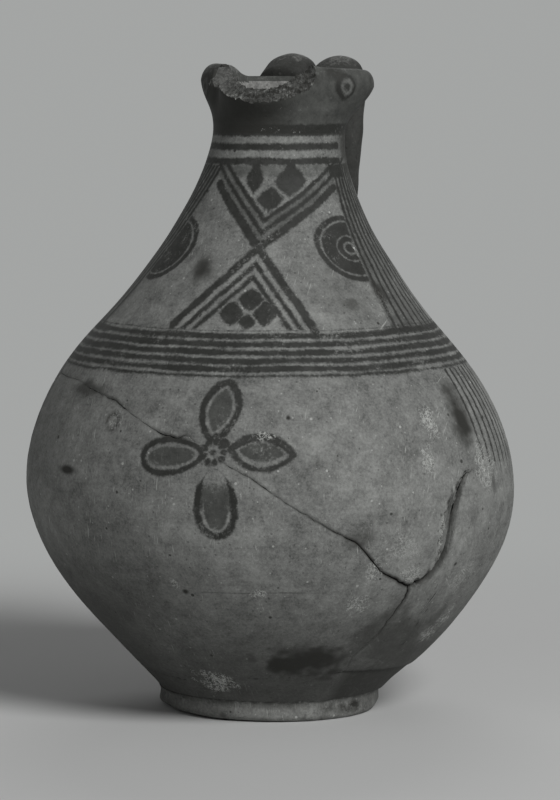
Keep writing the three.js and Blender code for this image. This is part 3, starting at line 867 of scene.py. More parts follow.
def painted_clay(name, design):
    """Clay with its painting. A design gives the paint's distances and strengths, its stains and painted
    shade, and pale chips.
    """
    finish, tree, shader, place = new_finish(name)
    read = placed(tree, AROUND_THE_JUG, Place=place, Wobble=BRUSH_WOBBLE)
    bearing, height, radius = (Field(tree, read[label]) for label in ("Bearing", "Height", "Radius"))
    look = design(tree, place, bearing, height, radius)
    clay = placed(tree, FIRED_CLAY, Place=place, Tone=CLAY_TONE)
    washed = brushed(tree, place, look["wash"], look["wash_wear"]) * look["wash_strength"]
    uneven_wash = shaded(tree, WASH_TONE[:3], (cloud(tree, place, 260, 5, 0.75) - 0.5) * 2 + 1)
    colour = mixed(tree, washed, clay["Colour"], uneven_wash)
    inked = brushed(tree, place, look["ink"], look["ink_wear"]) * look["ink_strength"]
    colour = mixed(tree, inked, colour, PAINT_TONE)
    # Stains, and painted shade where a design gives it, darken the colour over the paint.
    colour = mixed(tree, look["stain"], colour, SOIL_AND_SHADE_TONE)
    # Soil at the breaks and in the spall, and painted shade at flake edges and round the pit, carried by the
    # mesh.
    grime_and_shade = wear_and_shading_share(tree) * cloud(tree, place, 260, 4, 0.65).fade(0.22, 0.5)
    colour = mixed(tree, grime_and_shade * 0.9, colour, SOIL_AND_SHADE_TONE)
    colour = mixed(tree, look["chip"], colour, CHIP_TONE)
    roughness = Field(tree, clay["Roughness"]) - inked * 0.1
    relief = Field(tree, clay["Relief"]) + inked * 0.12 - look["chip"] * 0.4
    surfaced(tree, shader, colour, roughness, relief, PAINTED_RELIEF)
    return finish


def body_design(tree, place, bearing, height, radius):
    ink = shoulder_bands(tree, place, height)
    petals, wash = flower(bearing, height, radius)
    ink = ink.least(petals)
    fading = height.fade(SIDE_LINES_FADE, SIDE_LINES_FROM) * 2
    for left, right in SIDE_LINES:
        lines = line_group(bearing, radius, left, right, SIDE_LINE_COUNT, SIDE_LINE_WIDTH)[0]
        ink = ink.least(lines.most(height - SIDE_LINES_TO) + fading)
    chip = blots(tree, place, bearing, height, radius, BODY_CHIPS, CHIP_EDGE)
    stain = blots(tree, place, bearing, height, radius, BODY_STAINS_AND_SHADE, STAIN_EDGE)
    # Painted shade on the lower left of the body, away from the light.
    leftward = abs(bearing - LEFT_SHADE_BEARING).fade(LEFT_SHADE_REACH, LEFT_SHADE_CORE)
    left_shade = leftward * height.fade(LEFT_SHADE_FROM, LEFT_SHADE_TO) * LEFT_SHADE
    # Soil and painted shade darken the body towards the bottom.
    stain = stain.most(height.fade(LOWER_SOIL_AND_SHADE_FROM, LOWER_SOIL_AND_SHADE_TO) * LOWER_SOIL_AND_SHADE).most(left_shade)
    return {
        "ink": ink,
        "ink_wear": cloud(tree, place, 30, 3, 0.55).fade(0.35, 0.7) * 0.4 + 0.15,
        "ink_strength": 0.96,
        "wash": wash,
        "wash_wear": 0.4,
        "wash_strength": 0.93,
        "stain": stain,
        "chip": speckled(tree, place, chip, 0.75),
    }


PAINTED_BODY = painted_clay("painted body clay", body_design)
INSIDE_CLAY = rubbed_clay("inside clay", INSIDE_TONE, INSIDE_RELIEF)
BROKEN_CLAY = rubbed_clay("broken clay", BREAK_TONE, BREAK_RELIEF)


def clustered(length, pitch):
    """Shares along a length in millimetres: close together at both ends, then evenly spaced."""
    count = max(2, round((length - 2 * EDGE_ROWS[-1]) / pitch))
    near = [place / length for place in EDGE_ROWS]
    span = 1 - 2 * near[-1]
    middle = [near[-1] + span * step / count for step in range(1, count)]
    return [*near, *middle, *(1 - share for share in reversed(near))]


def thickened(piece, wall, finishes):
    """Gives a sheet of clay its thickness, with finishes for its outer face, inner face and edges."""
    coated(piece, *finishes)
    modifier = piece.modifiers.new("wall", "SOLIDIFY")
    modifier.thickness = wall * MILLIMETRE
    modifier.offset = -1
    modifier.material_offset = 1
    modifier.material_offset_rim = 2
    bpy.context.view_layer.objects.active = piece
    bpy.ops.object.modifier_apply(modifier=modifier.name)


def spalled(bearing):
    """How deep the skin is lost below the open part of the base break."""
    turn = turn_from(-180, bearing)
    return SPALL_DEPTH * soft_step(turn, *SPALL_FROM) * soft_step(turn, *SPALL_TO)


@functools.cache
def base_outline(bearing):
    """Section of the base sherd, from the middle of its underside to the middle of its floor."""
    openness = base_openness(bearing)
    top = base_break(bearing) - BREAK_GAP / 2 * openness
    floor = WALL_START + FLOOR_THICKNESS
    under = [(BASE_RADIUS * step / FLOOR_ROWS + FLOOR_HOLE, WALL_START) for step in range(FLOOR_ROWS)]
    outer = []
    for step in range(WALL_ROWS + 1):
        height = WALL_START + (top - WALL_START) * (step / WALL_ROWS) ** WALL_ROW_POWER
        place = wall_spot(bearing, height, rounded_edge(top - height, openness) + spalled(bearing))
        outer.append((math.hypot(place.x, place.y), place.z))
    edge_radius, edge_height = outer[-1]
    inner_edge = (edge_radius - BODY_WALL + BASE_EDGE_RUN, edge_height + BASE_EDGE_RISE)
    corner = BASE_RADIUS - BODY_WALL
    inner = [inner_edge, (corner + FLOOR_CORNER, (floor + inner_edge[1]) / 2)]
    over = [(corner * (1 - step / FLOOR_ROWS) + FLOOR_HOLE, floor) for step in range(FLOOR_ROWS + 1)]
    return [*under, *outer, *inner, *over]


BASE_ROWS = len(base_outline(0)) - 1


def base_shape(bearing, share):
    radius, height = base_outline(bearing)[round(share * BASE_ROWS)]
    return spot(bearing, radius, height), SPALL_WEAR * spalled(bearing) / SPALL_DEPTH


def closed_ends(piece):
    """Fills the open ends of a tube."""
    edit(
        piece,
        (bpy.ops.mesh.select_all, {"action": "DESELECT"}),
        (bpy.ops.mesh.select_non_manifold, {}),
        (bpy.ops.mesh.fill_holes, {"sides": 0}),
    )


base_sherd = tube("floor_and_base_sherd", BASE_COLUMNS, BASE_ROWS)
pressed(base_sherd, base_shape)
closed_ends(base_sherd)
coated(base_sherd, PAINTED_BODY, INSIDE_CLAY)
for face in base_sherd.data.polygons:
    outward = face.normal.dot(Vector((face.center.x, face.center.y, 0)).normalized())
    face.material_index = 0 if outward > OUTER_FACING else 1
finished(base_sherd, "base_sherd")


def wall_sherd(name, node, left_seam, right_seam):
    """One sherd of the lower wall, between two seams, the base break and the main break."""
    half_way = BELLY_HEIGHT * 0.6
    left, right = read_at(left_seam, half_way), read_at(right_seam, half_way)
    across = clustered(math.radians(right - left) * BELLY_RADIUS, SHERD_PITCH)
    middle = (left + right) / 2
    upward = clustered(main_break(middle) - base_break(middle), SHERD_PITCH)
    columns, rows = len(across) - 1, len(upward) - 1
    piece = added(name, bpy.ops.mesh.primitive_grid_add, x_subdivisions=columns, y_subdivisions=rows, size=1)
    wear_and_shading = piece.data.attributes.new("wear_and_shading", "FLOAT", "POINT")
    for corner in piece.data.vertices:
        share = across[round((corner.co.x + 0.5) * columns)]
        rise = upward[round((corner.co.y + 0.5) * rows)]
        height = half_way
        for _ in range(SETTLING_ROUNDS):
            stray = ragged(height, 5) * SEAM_STRAY
            seam_openness = read_at(SEAM_OPENNESS, height)
            inset = math.degrees(BREAK_GAP / 2 * seam_openness / BELLY_RADIUS)
            left = read_at(left_seam, height) + stray + inset
            right = read_at(right_seam, height) + stray - inset
            bearing = left + (right - left) * share
            bottom = base_break(bearing) + BREAK_GAP / 2 * base_openness(bearing)
            top = main_break(bearing) - main_inset(bearing)
            height = bottom + (top - bottom) * rise
        to_side = min(share, 1 - share) * math.radians(right - left) * read_at(body_profile, height)
        to_top = min(top - height, distance_to_break(bearing, height))
        edges = [
            (to_top, main_openness(bearing)),
            (to_side, seam_openness),
            (height - bottom, base_openness(bearing)),
        ]
        flake, flake_soil_and_shade = flaked(bearing, height, to_top, LOWER_FLAKE_REACH)
        sunk = sum(rounded_edge(*edge) for edge in edges) + flake
        corner.co = wall_spot(bearing, height, sunk) * MILLIMETRE
        # Soil at the breaks, and soil with painted shade at the flake's edge and round the pit's rim.
        soil = [flake_soil_and_shade, pit(bearing, height)[1], *(soiled(*edge) for edge in edges)]
        wear_and_shading.data[corner.index].value = max(soil)
    piece.data.update()
    thickened(piece, BODY_WALL, (PAINTED_BODY, INSIDE_CLAY, BROKEN_CLAY))
    finished(piece, node)


turned_back_seam = [(height, bearing - 360) for height, bearing in LEFT_SEAM]
wall_sherd("front_lower_sherd", "front_wall_sherd", turned_back_seam, RIGHT_SEAM)
wall_sherd("right_lower_sherd", "right_wall_sherd", RIGHT_SEAM, BACK_SEAM)
wall_sherd("left_lower_sherd", "left_wall_sherd", BACK_SEAM, LEFT_SEAM)


def shoulder_shape(bearing, share):
    bearing = read_at(SHOULDER_COLUMN_STOPS, (bearing + 180) / 360)
    openness = main_openness(bearing)
    bottom = main_break(bearing) + main_inset(bearing)
    height = bottom + (SHOULDER_HEIGHT - bottom) * share**SHOULDER_ROW_POWER
    distance = min(height - bottom, distance_to_break(bearing, height))
    flake, flake_soil_and_shade = flaked(bearing, height, distance, UPPER_FLAKE_REACH)
    sunk = rounded_edge(distance, openness) + flake
    return wall_spot(bearing, height, sunk), max(flake_soil_and_shade, soiled(distance, openness))


shoulder_sherd = tube("upper_shoulder_sherd", SHOULDER_COLUMNS, SHOULDER_ROWS)
pressed(shoulder_sherd, shoulder_shape)
thickened(shoulder_sherd, BODY_WALL, (PAINTED_BODY, INSIDE_CLAY, BROKEN_CLAY))
finished(shoulder_sherd, "shoulder_sherd")

# Neck
# A tall cone, thrown apart from the body and luted on at the shoulder while both were leather hard. It was
# set down a little askew, so it leans, and its front carries the painted cross with its nets of lozenges.
WAIST_RADIUS = 27.5
WAIST_HEIGHT = 241
NECK_WALL = 5
NECK_RUN = 0.27 * (WAIST_HEIGHT - SHOULDER_HEIGHT)
NECK_CURVE = [
    (SHOULDER_RADIUS, SHOULDER_HEIGHT),
    (SHOULDER_RADIUS - SHOULDER_SLOPE * NECK_RUN, SHOULDER_HEIGHT + NECK_RUN),
    (WAIST_RADIUS, WAIST_HEIGHT - 0.31 * (WAIST_HEIGHT - SHOULDER_HEIGHT)),
    (WAIST_RADIUS, WAIST_HEIGHT),
]
NECK_COLUMNS = 300
NECK_ROWS = 70
NECK_WAVE, NECK_WAVE_LENGTH = 0.3, 16
WAIST_REACH = 8
CROSS_BEARING, CROSS_HEIGHT = 13.3, 195.1
CROSS_ENDS = [(-25.4, 220), (68, 219), (-16, 164.6), (35.3, 162.7)]
CROSS_WIDTHS = (3.8, 3.5, 3, 3.2)
NET_FIRST, NET_PITCH, NET_LINES, NET_WIDTH = 4.3, 3.5, 2, 1.9
UPPER_LOZENGES = [(4.1, 222.6, 3.8, 5.8), (31.4, 221.8, 6.8, 6.2), (16.8, 214.6, 5.6, 5)]
LOWER_LOZENGES = [(12.2, 175.2, 5.4, 4.8), (5.6, 170, 5.4, 4.8), (18.1, 169.8, 5.2, 5), (11.6, 166.8, 3.8, 3)]
STEMS = [(4.3, 1.7), (31.8, 2.1)]
NECK_RINGS = [(228.2, 231), (234.1, 237)]
NECK_RINGS_FROM, NECK_RINGS_TO = -75, 84
COLLAR_FROM = 239.8
CIRCLES = [(64.6, 194.2, 3), (-45.8, 194, 1)]
CIRCLE_RADIUS = 17
CIRCLE_SLANT = 1.28
CIRCLE_BARE_RINGS = [(0.82, 0.04), (0.38, 0.036), (0.17, 0.05)]
NECK_LINES = [((66.5, 4, 0), (102, 4, 0)), ((-95, 8, 20), (-55, 8, 20))]
NECK_LINE_COUNT, NECK_LINE_WIDTH = 8, 1.7
CORNER_PATCH_FROM, CORNER_PATCH_LOW = 66, 222.5
TOP_STRIP_FROM = 223.5
NET_GROUND_FROM = 1.5
# Dark patches on the neck; the one at bearing 104 darkens the right of the neck just under the rings.
NECK_DARK_PATCHES = [
    (-13, 186.8, 7, 7.5, 0.95), (69.7, 177.5, 6, 7, 0.9), (53.6, 173, 5, 4, 0.6), (52, 180, 26, 22, 0.25),
    (104, 236, 15, 16, 0.9),
]
NECK_CHIPS = [(68, 194, 1.6, 5, 0.9), (68, 172, 9, 12, 0.35), (30, 163, 60, 3, 0.35)]

neck_profile = [tuple(reversed(on_curve(NECK_CURVE, step / CURVE_STEPS))) for step in range(CURVE_STEPS + 1)]


def leaning(place):
    """A point moved sideways with the lean of the neck."""
    share = max(0, (place.z - SHOULDER_HEIGHT) / (RIM_HEIGHT - SHOULDER_HEIGHT))
    return place + spot(NECK_LEAN_BEARING, NECK_LEAN * share**2, 0)


def neck_shape(bearing, share):
    radius, height = on_curve(NECK_CURVE, share)
    plain = spot(bearing, radius, height)
    joint = min(1, (height - SHOULDER_HEIGHT) / JOINT_REACH, (WAIST_HEIGHT - height) / WAIST_REACH)
    wave = NECK_WAVE * joint * noise.noise(plain / NECK_WAVE_LENGTH)
    return leaning(swayed(bearing, radius + wave, height)), 0


def flat_spot(bearing, height):
    """A place on the neck as a width and a rise from the middle of the painted cross."""
    return math.radians(bearing - CROSS_BEARING) * read_at(neck_profile, height), height - CROSS_HEIGHT


def stroke(x, y, end, width):
    """Distance from a straight brush stroke out of the middle of the cross, negative inside it."""
    squared = end[0] ** 2 + end[1] ** 2
    along = (x * (end[0] / squared)).math("MULTIPLY_ADD", 1, y * (end[1] / squared), clamp=True)
    return along.times_plus(-end[0], x).length_with(along.times_plus(-end[1], y)) - width / 2


def inward(x, y, end, side):
    """Distance from the line through the middle of the cross and one of its ends, towards a side."""
    length = math.hypot(*end)
    return x * (-side * end[1] / length) + y * (side * end[0] / length)


def lozenge(x, y, centre, half_width, half_height):
    width = abs(x - centre[0]) / half_width
    rise = abs(y - centre[1]) / half_height
    return ((width + rise + width.length_with(rise)) * 0.5 - 1) * (min(half_width, half_height) * 0.8)


def net(x, y, left, right, lozenges):
    """Nested lines along two arms of the cross, and the lozenges that they frame."""
    depth = inward(x, y, left, -1).least(inward(x, y, right, 1))
    lines = (depth - NET_FIRST).math("PINGPONG", NET_PITCH / 2) - NET_WIDTH / 2
    reach = NET_FIRST + (NET_LINES - 1) * NET_PITCH + NET_WIDTH / 2
    lines = lines.most(stripe(depth, NET_FIRST - NET_WIDTH / 2, reach))
    for bearing, height, half_width, half_height in lozenges:
        lines = lines.least(lozenge(x, y, flat_spot(bearing, height), half_width, half_height))
    return lines


def circles(bearing, height, radius):
    """Ringed discs at both sides of the cross."""
    discs = []
    for circle_bearing, circle_height, rings in CIRCLES:
        across = (bearing - circle_bearing) * math.radians(1) * radius
        away = across.length_with((height - circle_height) * CIRCLE_SLANT)
        disc = away - CIRCLE_RADIUS
        for share, width in CIRCLE_BARE_RINGS[:rings]:
            disc = disc.most(-abs(away - share * CIRCLE_RADIUS) + width * CIRCLE_RADIUS / 2)
        discs.append(disc)
    return functools.reduce(Field.least, discs)


def neck_design(tree, place, bearing, height, radius):
    x = (bearing - CROSS_BEARING) * math.radians(1) * radius
    y = height - CROSS_HEIGHT
    ends = [flat_spot(*end) for end in CROSS_ENDS]
    ink = shoulder_bands(tree, place, height)
    for end, width in zip(ends, CROSS_WIDTHS):
        ink = ink.least(stroke(x, y, end, width))
    upper = net(x, y, ends[0], ends[1], UPPER_LOZENGES)
    for stem_bearing, half_width in STEMS:
        beside, low = flat_spot(stem_bearing, UPPER_LOZENGES[0][1])
        upper = upper.least(abs(x - beside).most(-y + low) - half_width)
    lower = net(x, y, ends[3], ends[2], LOWER_LOZENGES)
    ink = ink.least(upper.most(height - NECK_RINGS[0][1])).least(lower.most(-height + BANDS_TO))
    rings = stripe(height, *NECK_RINGS[0]).least(stripe(height, *NECK_RINGS[1]))
    ink = ink.least(rings.most(stripe(bearing, NECK_RINGS_FROM, NECK_RINGS_TO))).least(-height + COLLAR_FROM)
    chip = blots(tree, place, bearing, height, radius, NECK_CHIPS, CHIP_EDGE)
    discs = circles(bearing, height, radius)
    share = (height - BANDS_TO) / (NECK_RINGS[0][0] - BANDS_TO)
    grounds = []
    for edges in NECK_LINES:
        left, right = ((share * bend + slope) * share + start for start, slope, bend in edges)
        lines, ground = line_group(bearing, radius, left, right, NECK_LINE_COUNT, NECK_LINE_WIDTH)
        ink = ink.least(lines.most(height - NECK_RINGS[0][0]))
        discs = discs.most(-ground)
        grounds.append(ground)
    ink = ink.least(discs)
    inside = inward(x, y, ends[0], -1).least(inward(x, y, ends[1], 1))
    top_strip = (-inside).most(-height + TOP_STRIP_FROM)
    net_ground = stripe(inside, NET_GROUND_FROM, NET_FIRST + NET_PITCH + 1)
    wash = functools.reduce(Field.least, [*grounds, top_strip, net_ground])
    corner = (-bearing + CORNER_PATCH_FROM).most(-height + CORNER_PATCH_LOW).most(bearing - NECK_RINGS_TO)
    ink = ink.least(corner.most(height - NECK_RINGS[0][0]))
    return {
        "ink": ink,
        "ink_wear": cloud(tree, place, 40, 3, 0.55).fade(0.35, 0.7) * 0.4 + 0.16,
        "ink_strength": 0.96,
        "wash": wash.most(height - NECK_RINGS[0][0]),
        "wash_wear": 0.5,
        "wash_strength": 0.6,
        "stain": blots(tree, place, bearing, height, radius, NECK_DARK_PATCHES, STAIN_EDGE),
        "chip": speckled(tree, place, chip, 0.3),
    }


neck_cone = tube("leaning_neck_cone", NECK_COLUMNS, NECK_ROWS)
pressed(neck_cone, neck_shape)
thickened(neck_cone, NECK_WALL, (painted_clay("painted neck clay", neck_design), INSIDE_CLAY, INSIDE_CLAY))
finished(neck_cone, "neck_cone")

# Pinched mouth
# The mouth flares from the neck and was pinched by hand, while soft, into a pouring spout and two side lobes.
# An eye is painted on each cheek. The lip of the spout is lost, and the break is rough and pale.
RIM_LINE = [
    (-180, -4.5), (-124, -4.5), (-114, 0.2), (-78, 1), (-52, 0.6), (-20, 0), (20, 0), (36, 1), (46, 0.5),
    (56, -0.4), (68, -0.8), (86, -1.2), (108, -1.8), (128, -4.5), (180, -4.5),
]
RIM_EASING = (-4, -1.5, 1.5, 4)
LIP_RADIUS = 31
LIP_OUTER, LIP_INNER, LIP_ROUND = 5.5, 2.5, 7
SPOUT_REACH, SPOUT_WIDTH = 7, 30
LEFT_LOBE_REACH, RIGHT_LOBE_REACH = 6, 7.2
LOBE_WIDTH, LOBE_BEARING = 34, 100
PINCH_DEPTH, PINCH_WIDTH, PINCH_BEARING = 3.5, 16, 52
SPOUT_BREAK = [
    (-67, -11), (-65, 3.5), (-61, 6), (-57, 9.4), (-42, 9), (-23, 9.6), (-12, 10), (5, 10.6), (15, 11.2),
    (26, 10.6), (37, 10.4), (44, 8.5), (48, 3), (50, -11),
]
SPOUT_BREAK_SLOPES = [(-65, 0.3), (-57, 0.45), (-23, 0.75), (0, 1.2), (30, 1.1), (50, 0.8)]
LOBE_BREAK = [(-62, 36), (-59.5, 20), (-58.5, 0)]
BREAK_ROUGHNESS = 0.8
BREAK_GRAINS = [(4, 1), (1.7, 0.5), (0.9, 0.35)]
LIP_WAVE, LIP_WAVE_LENGTH, LIP_WAVE_START = 0.35, 9, 6
MOUTH_COLUMNS = 480
FLARE_ROWS = 22
LIP_ROWS = 18
MOUTH_ROWS = 2 * FLARE_ROWS + LIP_ROWS
SECTION_STEPS = 30
EYES = [(71, 260), (-71, 260)]
EYE_WIDTH, EYE_HEIGHT, EYE_SLANT = 4.1, 5.6, 0.3
COLLAR_TO = 244.6
LIP_BREAK_TONE = (0.15, 0.152, 0.145, 1)
LIP_BREAK_RELIEF = 1.6
MOUTH_STAINS = [(45, 263, 9, 3, 0.4), (100, 258, 10, 5, 0.3), (65, 265, 5, 4, 0.75), (92, 263, 3, 5, 0.5)]
MOUTH_CHIPS = [
    (12, 242.4, 10, 2.4, 0.8), (34, 242.4, 9, 2.2, 0.7), (20, 251, 1.2, 1.2, 0.8),
    (31.6, 250.3, 7, 0.7, 0.7), (-62, 262, 4, 3, 0.9), (-50, 259.5, 6, 1.6, 0.8),
]


def lip_radius(bearing):
    lobes = LEFT_LOBE_REACH * bump(bearing, -LOBE_BEARING, LOBE_WIDTH)
    lobes += RIGHT_LOBE_REACH * bump(bearing, LOBE_BEARING, LOBE_WIDTH)
    pinches = PINCH_DEPTH * sum(bump(bearing, side * PINCH_BEARING, PINCH_WIDTH) for side in (-1, 1))
    return LIP_RADIUS + SPOUT_REACH * bump(bearing, 0, SPOUT_WIDTH) + lobes - pinches


def rim_height(bearing):
    """Height of the hand-made rim, before its spout broke."""
    return RIM_HEIGHT + sum(read_at(RIM_LINE, bearing + step) for step in RIM_EASING) / len(RIM_EASING)


def resampled(points, count):
    """Points at even distances along a line of points."""
    lengths = [0]
    for before, after in zip(points, points[1:]):
        lengths.append(lengths[-1] + math.dist(before, after))
    across = [(length, point[0]) for length, point in zip(lengths, points)]
    upward = [(length, point[1]) for length, point in zip(lengths, points)]
    places = [lengths[-1] * step / count for step in range(count + 1)]
    return [(read_at(across, place), read_at(upward, place)) for place in places]


def flare(foot, head, start):
    """One face of the mouth's wall, from the waist up to where the lip starts to round."""
    rise = start - WAIST_HEIGHT
    controls = [
        (foot, WAIST_HEIGHT),
        (foot, WAIST_HEIGHT + 0.42 * rise),
        (foot + 0.8 * (head - foot), WAIST_HEIGHT + 0.6 * rise),
        (head, start),
    ]
    return [on_curve(controls, step / SECTION_STEPS) for step in range(SECTION_STEPS + 1)]


@functools.cache
def mouth_outline(bearing):
    """Section of the mouth: outer face, top of the lip or of the break, inner face, and if it is broken."""
    reach = lip_radius(bearing)
    start = rim_height(bearing) - LIP_ROUND
    crest = reach - LIP_OUTER
    lip = []
    for step in range(1, SECTION_STEPS):
        angle = math.pi * step / SECTION_STEPS
        bulge = LIP_OUTER if step < SECTION_STEPS / 2 else LIP_INNER
        lip.append((crest + bulge * math.cos(angle), start + LIP_ROUND * math.sin(angle)))
    outer = flare(WAIST_RADIUS, reach, start)
    inner = flare(WAIST_RADIUS - NECK_WALL, crest - LIP_INNER, start)[::-1]
    whole = [*outer, *lip, *inner]
    level = RIM_HEIGHT - read_at(SPOUT_BREAK, bearing)
    slope = read_at(SPOUT_BREAK_SLOPES, bearing)
    standing = read_at(LOBE_BREAK, bearing)
    kept = [
        radius < standing or height <= level - slope * (radius - LIP_RADIUS)
        for radius, height in whole
    ]
    broken = SPOUT_BREAK[0][0] < bearing < SPOUT_BREAK[-1][0] and not all(kept)
    if broken:
        first = kept.index(False)
        last = len(kept) - 1 - kept[::-1].index(False)
        outer, lip, inner = whole[:first], [whole[first - 1], whole[last + 1]], whole[last + 1:]
    else:
        lip = [outer[-1], *lip, inner[0]]
    section = resampled(outer, FLARE_ROWS)[:-1]
    section += [*resampled(lip, LIP_ROWS), *resampled(inner, FLARE_ROWS)[1:]]
    return section, broken


def mouth_shape(bearing, share):
    section, broken = mouth_outline(bearing)
    row = round(share * MOUTH_ROWS)
    radius, height = section[row]
    place = leaning(spot(bearing, radius, height))
    on_break = broken and FLARE_ROWS <= row <= FLARE_ROWS + LIP_ROWS
    if on_break:
        rough = sum(share * noise.noise(place / size) for size, share in BREAK_GRAINS)
        place += Vector((0, 0, BREAK_ROUGHNESS * rough))
    else:
        free = min(1, abs(height - WAIST_HEIGHT) / LIP_WAVE_START)
        place += spot(bearing, LIP_WAVE * noise.noise(place / LIP_WAVE_LENGTH) * free, 0)
    return place, 1 if on_break else 0


def mouth_design(tree, place, bearing, height, radius):
    ink = stripe(height, COLLAR_FROM - 9, COLLAR_TO)
    eyes = []
    for eye_bearing, eye_height in EYES:
        slant = math.copysign(EYE_SLANT, eye_bearing)
        x = ((height - eye_height) * slant + bearing - eye_bearing) * math.radians(1) * radius / EYE_WIDTH
        y = (height - eye_height) / EYE_HEIGHT
        away = x.length_with(y)
        thick = x.fade(0.4, -0.8) * 0.2 + 0.33
        ring = abs(away + thick * 0.5 - 1) - thick * 0.5
        ink = ink.least(ring.least(away - 0.3) * EYE_WIDTH)
        eyes.append(away)
    # Painted shade: the mouth is darkened at the front and left, under the spout's lip and away from the
    # light.
    front_shade = bearing.fade(46, 0) * stripe(bearing, -80, 60).fade(0, -25)
    streaks = cloud(tree, stretched(tree, place, (40, 40, 260)), 1, 4, 0.65)
    chip = blots(tree, place, bearing, height, radius, MOUTH_CHIPS, CHIP_EDGE)
    stain = blots(tree, place, bearing, height, radius, MOUTH_STAINS, STAIN_EDGE)
    return {
        "ink": ink,
        # The collar's paint wears a little more towards the right: painted light on the side the light comes
        # from.
        "ink_wear": bearing.fade(10, 40) * 0.1 + streaks * 0.35,
        "ink_strength": 0.93,
        "wash": -height + COLLAR_FROM,
        "wash_wear": height.fade(258, 268) * 0.4 + streaks * 0.5,
        "wash_strength": functools.reduce(Field.least, eyes).fade(0.6, 1) * 0.33 + 0.58,
        "stain": stain.most(front_shade * (streaks * 0.3 + 0.72)),
        "chip": speckled(tree, place, chip, 0) * 0.6,
    }


def broken_lip_clay():
    """The rough break of the spout: gritty clay with white crumbs and dark soil caught in it."""
    finish, tree, shader, place = new_finish("broken lip clay")
    clay = placed(tree, FIRED_CLAY, Place=place, Tone=LIP_BREAK_TONE)
    crumbs = cloud(tree, place, 420, 6, 0.78)
    patchy = cloud(tree, place, 85, 3, 0.6).fade(0.38, 0.54)
    leftward = axes(tree, place)[0].fade(0.004, -0.016)
    colour = mixed(tree, leftward * -0.45 + 0.5, clay["Colour"], SOIL_AND_SHADE_TONE)
    colour = mixed(tree, crumbs.fade(0.56, 0.4) * (leftward * -0.6 + 1), colour, SOIL_AND_SHADE_TONE)
    colour = mixed(tree, crumbs.fade(0.54, 0.64) * patchy * (leftward * 0.4 + 0.5), colour, CHIP_TONE)
    surfaced(tree, shader, colour, clay["Roughness"], crumbs, LIP_BREAK_RELIEF)
    return finish


pinched_mouth = tube("pinched_mouth_with_spout", MOUTH_COLUMNS, MOUTH_ROWS)
pressed(pinched_mouth, mouth_shape)
coated(pinched_mouth, painted_clay("painted mouth clay", mouth_design), INSIDE_CLAY, broken_lip_clay())
rows_worn = pinched_mouth.data.attributes["wear_and_shading"].data
for face in pinched_mouth.data.polygons:
    inside = face.normal.dot(Vector((face.center.x, face.center.y, 0))) < 0
    if all(rows_worn[corner].value > 0.5 for corner in face.vertices):
        face.material_index = 2
    elif inside and face.center.z < (RIM_HEIGHT - LIP_ROUND) * MILLIMETRE:
        face.material_index = 1
for corner in rows_worn:
    corner.value = 0
finished(pinched_mouth, "pinched_mouth")

# Handle coils
# Two rolled coils of clay side by side. They are pressed broad over the back of the rim, arch over a gap for
# one finger and are luted down on the back of the neck, painted dark and rubbed where fingers held them.
COIL_WIDTH = 17
COIL_THICKNESS = 14
COIL_GAP = 0.2
COIL_SPLAYS = {-1: 2.5, 1: 1.4}
FINGER_GAP = 15.5
HANDLE_RISE = 5
COIL_COLUMNS = 56
COIL_ROWS = 120
COIL_REACH = WAIST_RADIUS + FINGER_GAP + COIL_THICKNESS / 2
COIL_CROWN = RIM_HEIGHT + HANDLE_RISE - COIL_THICKNESS / 2
COIL_ROOT = next(height for height, radius in neck_profile if radius < COIL_REACH)
COIL_DROP = 0.4 * COIL_THICKNESS
COIL_TUCK = 2.1
COIL_BROADENING = 0.17
RIGHT_COIL_DIP = 0.9
COIL_FLARE, COIL_FLARE_FROM = 0.3, 0.88
COIL_DOME, COIL_TIP = 0.05, 0.02
COIL_STEP = 0.004
COIL_LUMP, COIL_LUMP_LENGTH = 0.05, 7
HANDLE_TONE = (0.15, 0.152, 0.145, 1)
HANDLE_RELIEF = 0.28
HANDLE_STROKE = -2.0


def handle_clay():
    """Clay under a coat of dark paint that has rubbed through in streaks."""
    finish, tree, shader, place = new_finish("dark handle clay")
    clay = placed(tree, FIRED_CLAY, Place=place, Tone=HANDLE_TONE)
    rubbed = cloud(tree, stretched(tree, place, (260, 60, 60)), 1, 4, 0.65)
    crown = (axes(tree, place)[2] / MILLIMETRE).fade(COIL_CROWN, RIM_HEIGHT + HANDLE_RISE)
    cover = brushed(tree, place, HANDLE_STROKE, rubbed * 0.7 + crown * 0.5)
    colour = mixed(tree, cover * 0.87, clay["Colour"], PAINT_TONE)
    surfaced(tree, shader, colour, clay["Roughness"], clay["Relief"], HANDLE_RELIEF)
    return finish


def coil_path(side):
    """Points along the middle of a coil, from the rim over the crown and down to the neck."""
    beside = (COIL_WIDTH + COIL_GAP) / 2
    splay = COIL_SPLAYS[side]
    splayed = beside + splay
    rim = lip_radius(180)
    drop = WAIST_HEIGHT - COIL_ROOT
    crown = COIL_CROWN - max(0, side) * RIGHT_COIL_DIP
    return [
        Vector((side * splayed, rim - LIP_OUTER, crown - COIL_DROP)),
        Vector((side * splayed, rim + 0.4 * (COIL_REACH - rim), crown)),
        Vector((side * splayed, COIL_REACH - COIL_TUCK, crown - 1.5 * COIL_DROP)),
        Vector((side * (beside + 0.9 * splay), COIL_REACH, WAIST_HEIGHT - 0.2 * drop)),
        Vector((side * (beside + 0.5 * splay), COIL_REACH, WAIST_HEIGHT - 0.7 * drop)),
        Vector((side * beside, COIL_REACH - 0.6 * COIL_THICKNESS, COIL_ROOT - COIL_DROP)),
    ]


def on_path(points, share):
    """Point of a smooth curve through points."""
    whole = share * (len(points) - 1)
    index = min(int(whole), len(points) - 2)
    part = whole - index
    before = points[max(index - 1, 0)]
    after = points[min(index + 2, len(points) - 1)]
    start, end = points[index], points[index + 1]
    bend = (end - before) * part + (2 * before - 5 * start + 4 * end - after) * part**2
    bend += (3 * start - before - 3 * end + after) * part**3
    return start + bend / 2


